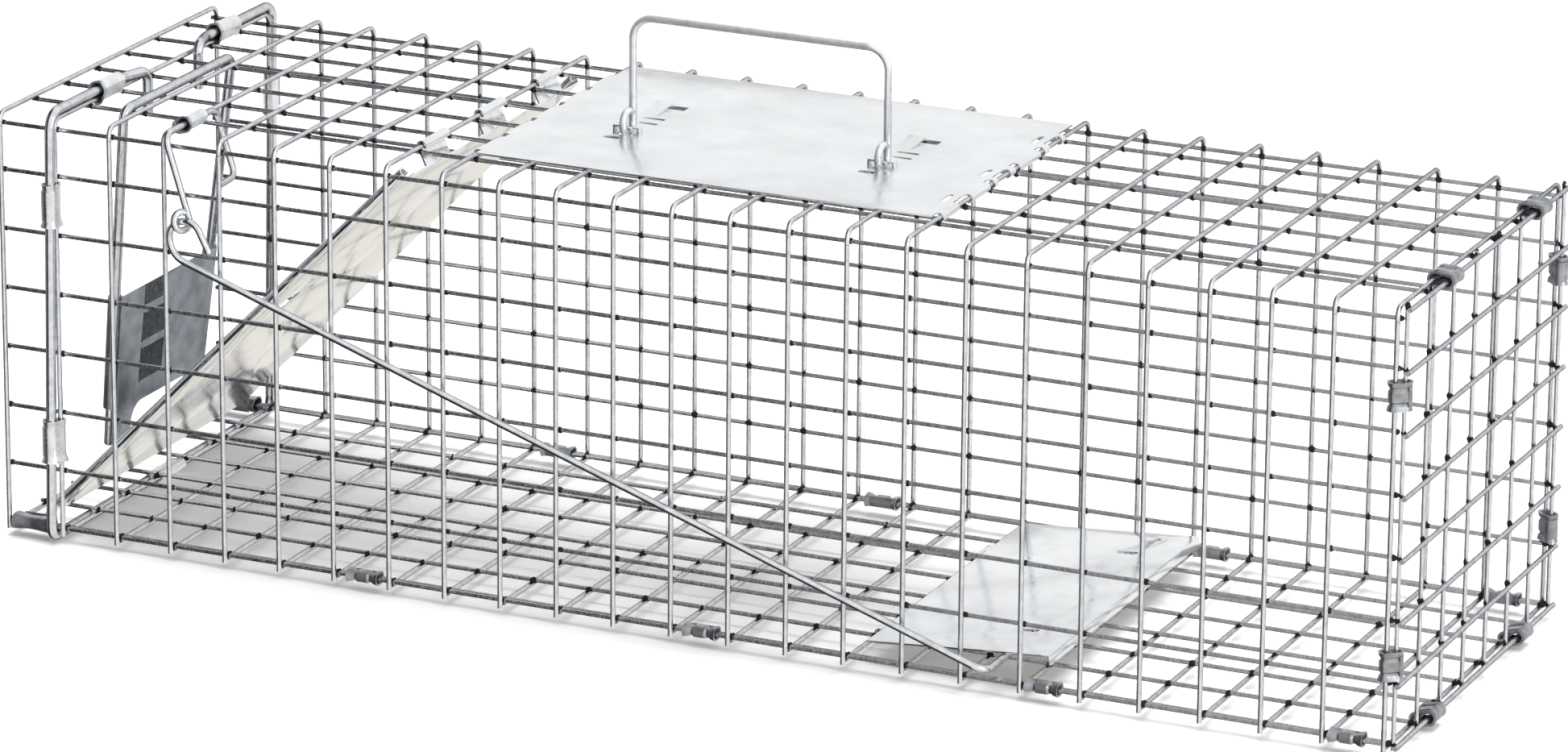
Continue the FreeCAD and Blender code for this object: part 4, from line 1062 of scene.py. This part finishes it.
class TRAP_OT_trip_rod(bpy.types.Operator):
    """The trip rod: an open hook at the trigger's eye, a long run and a turn inward under the treadle"""
    bl_idname = "trap.trip_rod"
    bl_label = "Trip rod"

    def execute(self, context):
        sizes = context.scene.trap_sizes
        cross = JOINTS["trip_rod_pivot"]
        points = [at(x, ROD_SIDE_Y, z) for x, z in TRIP_HOOK]
        points += [Vector((cross.x, MIDDLE.y + y * MM, cross.z)) for y in (ROD_SIDE_Y, TRIP_END_Y)]
        shape = rod_mesh(rounded_path(points, TRIP_BENDS, 10), sizes.trip_wire, sizes.round_sides)
        new_piece("trip_rod_wire", shape, "bright rod", "trip_rod", ("trip_rod",))
        return {"FINISHED"}


class TRAP_OT_treadle(bpy.types.Operator):
    """The treadle sheet that the animal steps on"""
    bl_idname = "trap.treadle"
    bl_label = "Treadle"

    def execute(self, context):
        from_node("treadle_sheet", "treadle", "treadle sheet", EDGE_ROUNDING)
        return {"FINISHED"}


class TRAP_OT_roof_plate(bpy.types.Operator):
    """The plate on the roof that carries the handle"""
    bl_idname = "trap.roof_plate"
    bl_label = "Roof plate"

    def execute(self, context):
        from_node("roof_plate_sheet", "roof_plate", "roof sheet", EDGE_ROUNDING)
        return {"FINISHED"}


class TRAP_OT_handle(bpy.types.Operator):
    """The wire handle, with an eye at each end round the plate's bridges"""
    bl_idname = "trap.handle"
    bl_label = "Handle"

    def execute(self, context):
        sizes = context.scene.trap_sizes
        axis = JOINTS["handle_hinge"]
        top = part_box("handle")[1].z - sizes.handle_wire / 2
        left, right = [MIDDLE.x + leg for leg in HANDLE_LEGS]
        leg_y = axis.y + HANDLE_EYE
        points = [Vector((left, leg_y, axis.z)), Vector((left, leg_y, top)),
                  Vector((right, leg_y, top)), Vector((right, leg_y, axis.z))]
        start, end = [[Vector((leg, axis.y + HANDLE_EYE * cos(turn), axis.z - HANDLE_EYE * sin(turn)))
                       for turn in HANDLE_TURNS] for leg in (left, right)]
        path = start[::-1] + rounded_path(points, [HANDLE_BEND] * 2, 12) + end
        shape = rod_mesh(path, sizes.handle_wire, sizes.round_sides)
        new_piece("handle_wire", shape, "plated rod", "handle", ("handle",))
        return {"FINISHED"}


# ---------------------------------------------------------------- stage
CAMERA_AZIMUTH = 24.53
CAMERA_ELEVATION = 17.93
CAMERA_ROLL = 0.45
CAMERA_PLACE = (1252.3, -2727.9, 1057.2)     # millimetres from the middle of the cage
CAMERA_LENS = 177.28
CAMERA_REACH = 50
FLOOR_REACH = 9.0
LIGHT_TARGET = Vector((0, 0, 0.1))

# surroundings, as the parts of a unit sphere where one tone runs into the next
BACKDROP_EDGE = (0.30, 0.55)
RIGHT_EDGE = (-0.39, -0.20)
LEFT_EDGE = (-0.98, -0.75)
LEFT_GLOW = 0.35
LOW_EDGE = (-0.44, -0.34)
DARK_TONE = (0.022, 0.024, 0.028)
COOL_TONE = (0.98, 0.99, 1.0)
WARM_TONE = (0.86, 0.83, 0.77)


def soft_box(name, place, width, height, power):
    """A large soft light that faces the trap."""
    data = bpy.data.lights.new(name, "AREA")
    data.shape = "RECTANGLE"
    data.size = width
    data.size_y = height
    data.energy = power
    light = linked(name, data)
    light.location = place
    light.rotation_euler = (LIGHT_TARGET - Vector(place)).to_track_quat("-Z", "Y").to_euler()
    return light


def larger(tree, first, second):
    """The larger of two values."""
    node = tree.nodes.new("ShaderNodeMath")
    node.operation = "MAXIMUM"
    tree.links.new(first, node.inputs[0])
    tree.links.new(second, node.inputs[1])
    return node.outputs[0]


def studio_world():
    """The studio round the trap: bright backdrop and right side, soft left side, warm below."""
    world = bpy.data.worlds.new("studio")
    world.use_nodes = True
    tree = world.node_tree
    shader = tree.nodes["Background"]
    coordinates = tree.nodes.new("ShaderNodeTexCoord")
    split = tree.nodes.new("ShaderNodeSeparateXYZ")
    tree.links.new(coordinates.outputs["Generated"], split.inputs[0])
    seen = tree.nodes.new("ShaderNodeLightPath").outputs["Is Camera Ray"]
    backdrop = ranged(tree, split.outputs["Y"], 0.0, 1.0, *BACKDROP_EDGE)
    right = ranged(tree, split.outputs["X"], 0.0, 1.0, *RIGHT_EDGE)
    left = ranged(tree, split.outputs["X"], LEFT_GLOW, 0.0, *LEFT_EDGE)
    lit = larger(tree, larger(tree, backdrop, right), larger(tree, left, seen))
    height = larger(tree, ranged(tree, split.outputs["Z"], 0.0, 1.0, *LOW_EDGE), seen)
    sky = mixed(tree, height)
    tree.links.new(blended(tree, lit, DARK_TONE, WARM_TONE), sky.inputs[6])
    tree.links.new(blended(tree, lit, DARK_TONE, COOL_TONE), sky.inputs[7])
    tree.links.new(sky.outputs[2], shader.inputs["Color"])
    return world


def view_camera():
    """The camera in front of the door end, a little above the roof."""
    data = bpy.data.cameras.new("view")
    data.lens = CAMERA_LENS
    data.clip_end = CAMERA_REACH
    camera = linked("view", data)
    azimuth, elevation = radians(CAMERA_AZIMUTH), radians(CAMERA_ELEVATION)
    forward = Vector((-sin(azimuth) * cos(elevation), cos(azimuth) * cos(elevation), -sin(elevation)))
    turn = forward.to_track_quat("-Z", "Y") @ Quaternion((0, 0, 1), radians(CAMERA_ROLL))
    camera.location = at(*CAMERA_PLACE)
    camera.rotation_euler = turn.to_euler()
    return camera


class TRAP_OT_stage(bpy.types.Operator):
    """A plain pale floor, soft studio light and the camera"""
    bl_idname = "trap.stage"
    bl_label = "Stage"

    def execute(self, context):
        scene = context.scene
        mesh = bpy.data.meshes.new("studio_floor")
        corners = [(x * FLOOR_REACH, y * FLOOR_REACH, 0) for x, y in ((-1, -1), (1, -1), (1, 1), (-1, 1))]
        mesh.from_pydata(corners, [], [(0, 1, 2, 3)])
        mesh.materials.append(finishes()["studio paper"])
        floor = linked("studio_floor", mesh)
        floor.visible_glossy = False
        scene.world = studio_world()
        top = soft_box("top light", (0.0, 0.3, 2.4), 2.6, 2.0, 88)
        top.visible_glossy = False
        soft_box("right light", (2.6, -0.9, 1.0), 0.7, 2.4, 22)
        scene.camera = view_camera()
        scene.view_settings.view_transform = "Standard"
        return {"FINISHED"}


PIECES = (TRAP_OT_side_walls, TRAP_OT_roof, TRAP_OT_floor_panel, TRAP_OT_rear_panel, TRAP_OT_frame_rod,
          TRAP_OT_sleeves, TRAP_OT_clips, TRAP_OT_door, TRAP_OT_lock_frame, TRAP_OT_trigger, TRAP_OT_trip_rod,
          TRAP_OT_treadle, TRAP_OT_roof_plate, TRAP_OT_handle, TRAP_OT_stage)


class TRAP_PT_sidebar(bpy.types.Panel):
    """The trap's settings and its pieces"""
    bl_idname = "TRAP_PT_sidebar"
    bl_label = "Live catch trap"
    bl_space_type = "VIEW_3D"
    bl_region_type = "UI"
    bl_category = "Trap"

    def draw(self, context):
        for group in (context.scene.trap_sizes, context.scene.trap_colours):
            column = self.layout.column(align=True)
            for name in group.__annotations__:
                column.prop(group, name)
        for operator in PIECES:
            self.layout.operator(operator.bl_idname)


CLASSES = (TrapSizes, TrapColours, *PIECES, TRAP_PT_sidebar)


def register():
    for item in CLASSES:
        bpy.utils.register_class(item)
    bpy.types.Scene.trap_sizes = PointerProperty(type=TrapSizes)
    bpy.types.Scene.trap_colours = PointerProperty(type=TrapColours)


def unregister():
    del bpy.types.Scene.trap_colours
    del bpy.types.Scene.trap_sizes
    for item in reversed(CLASSES):
        bpy.utils.unregister_class(item)


def main():
    register()
    for operator in PIECES:
        group, name = operator.bl_idname.split(".")
        getattr(getattr(bpy.ops, group), name)()


if __name__ == "__main__":
    main()
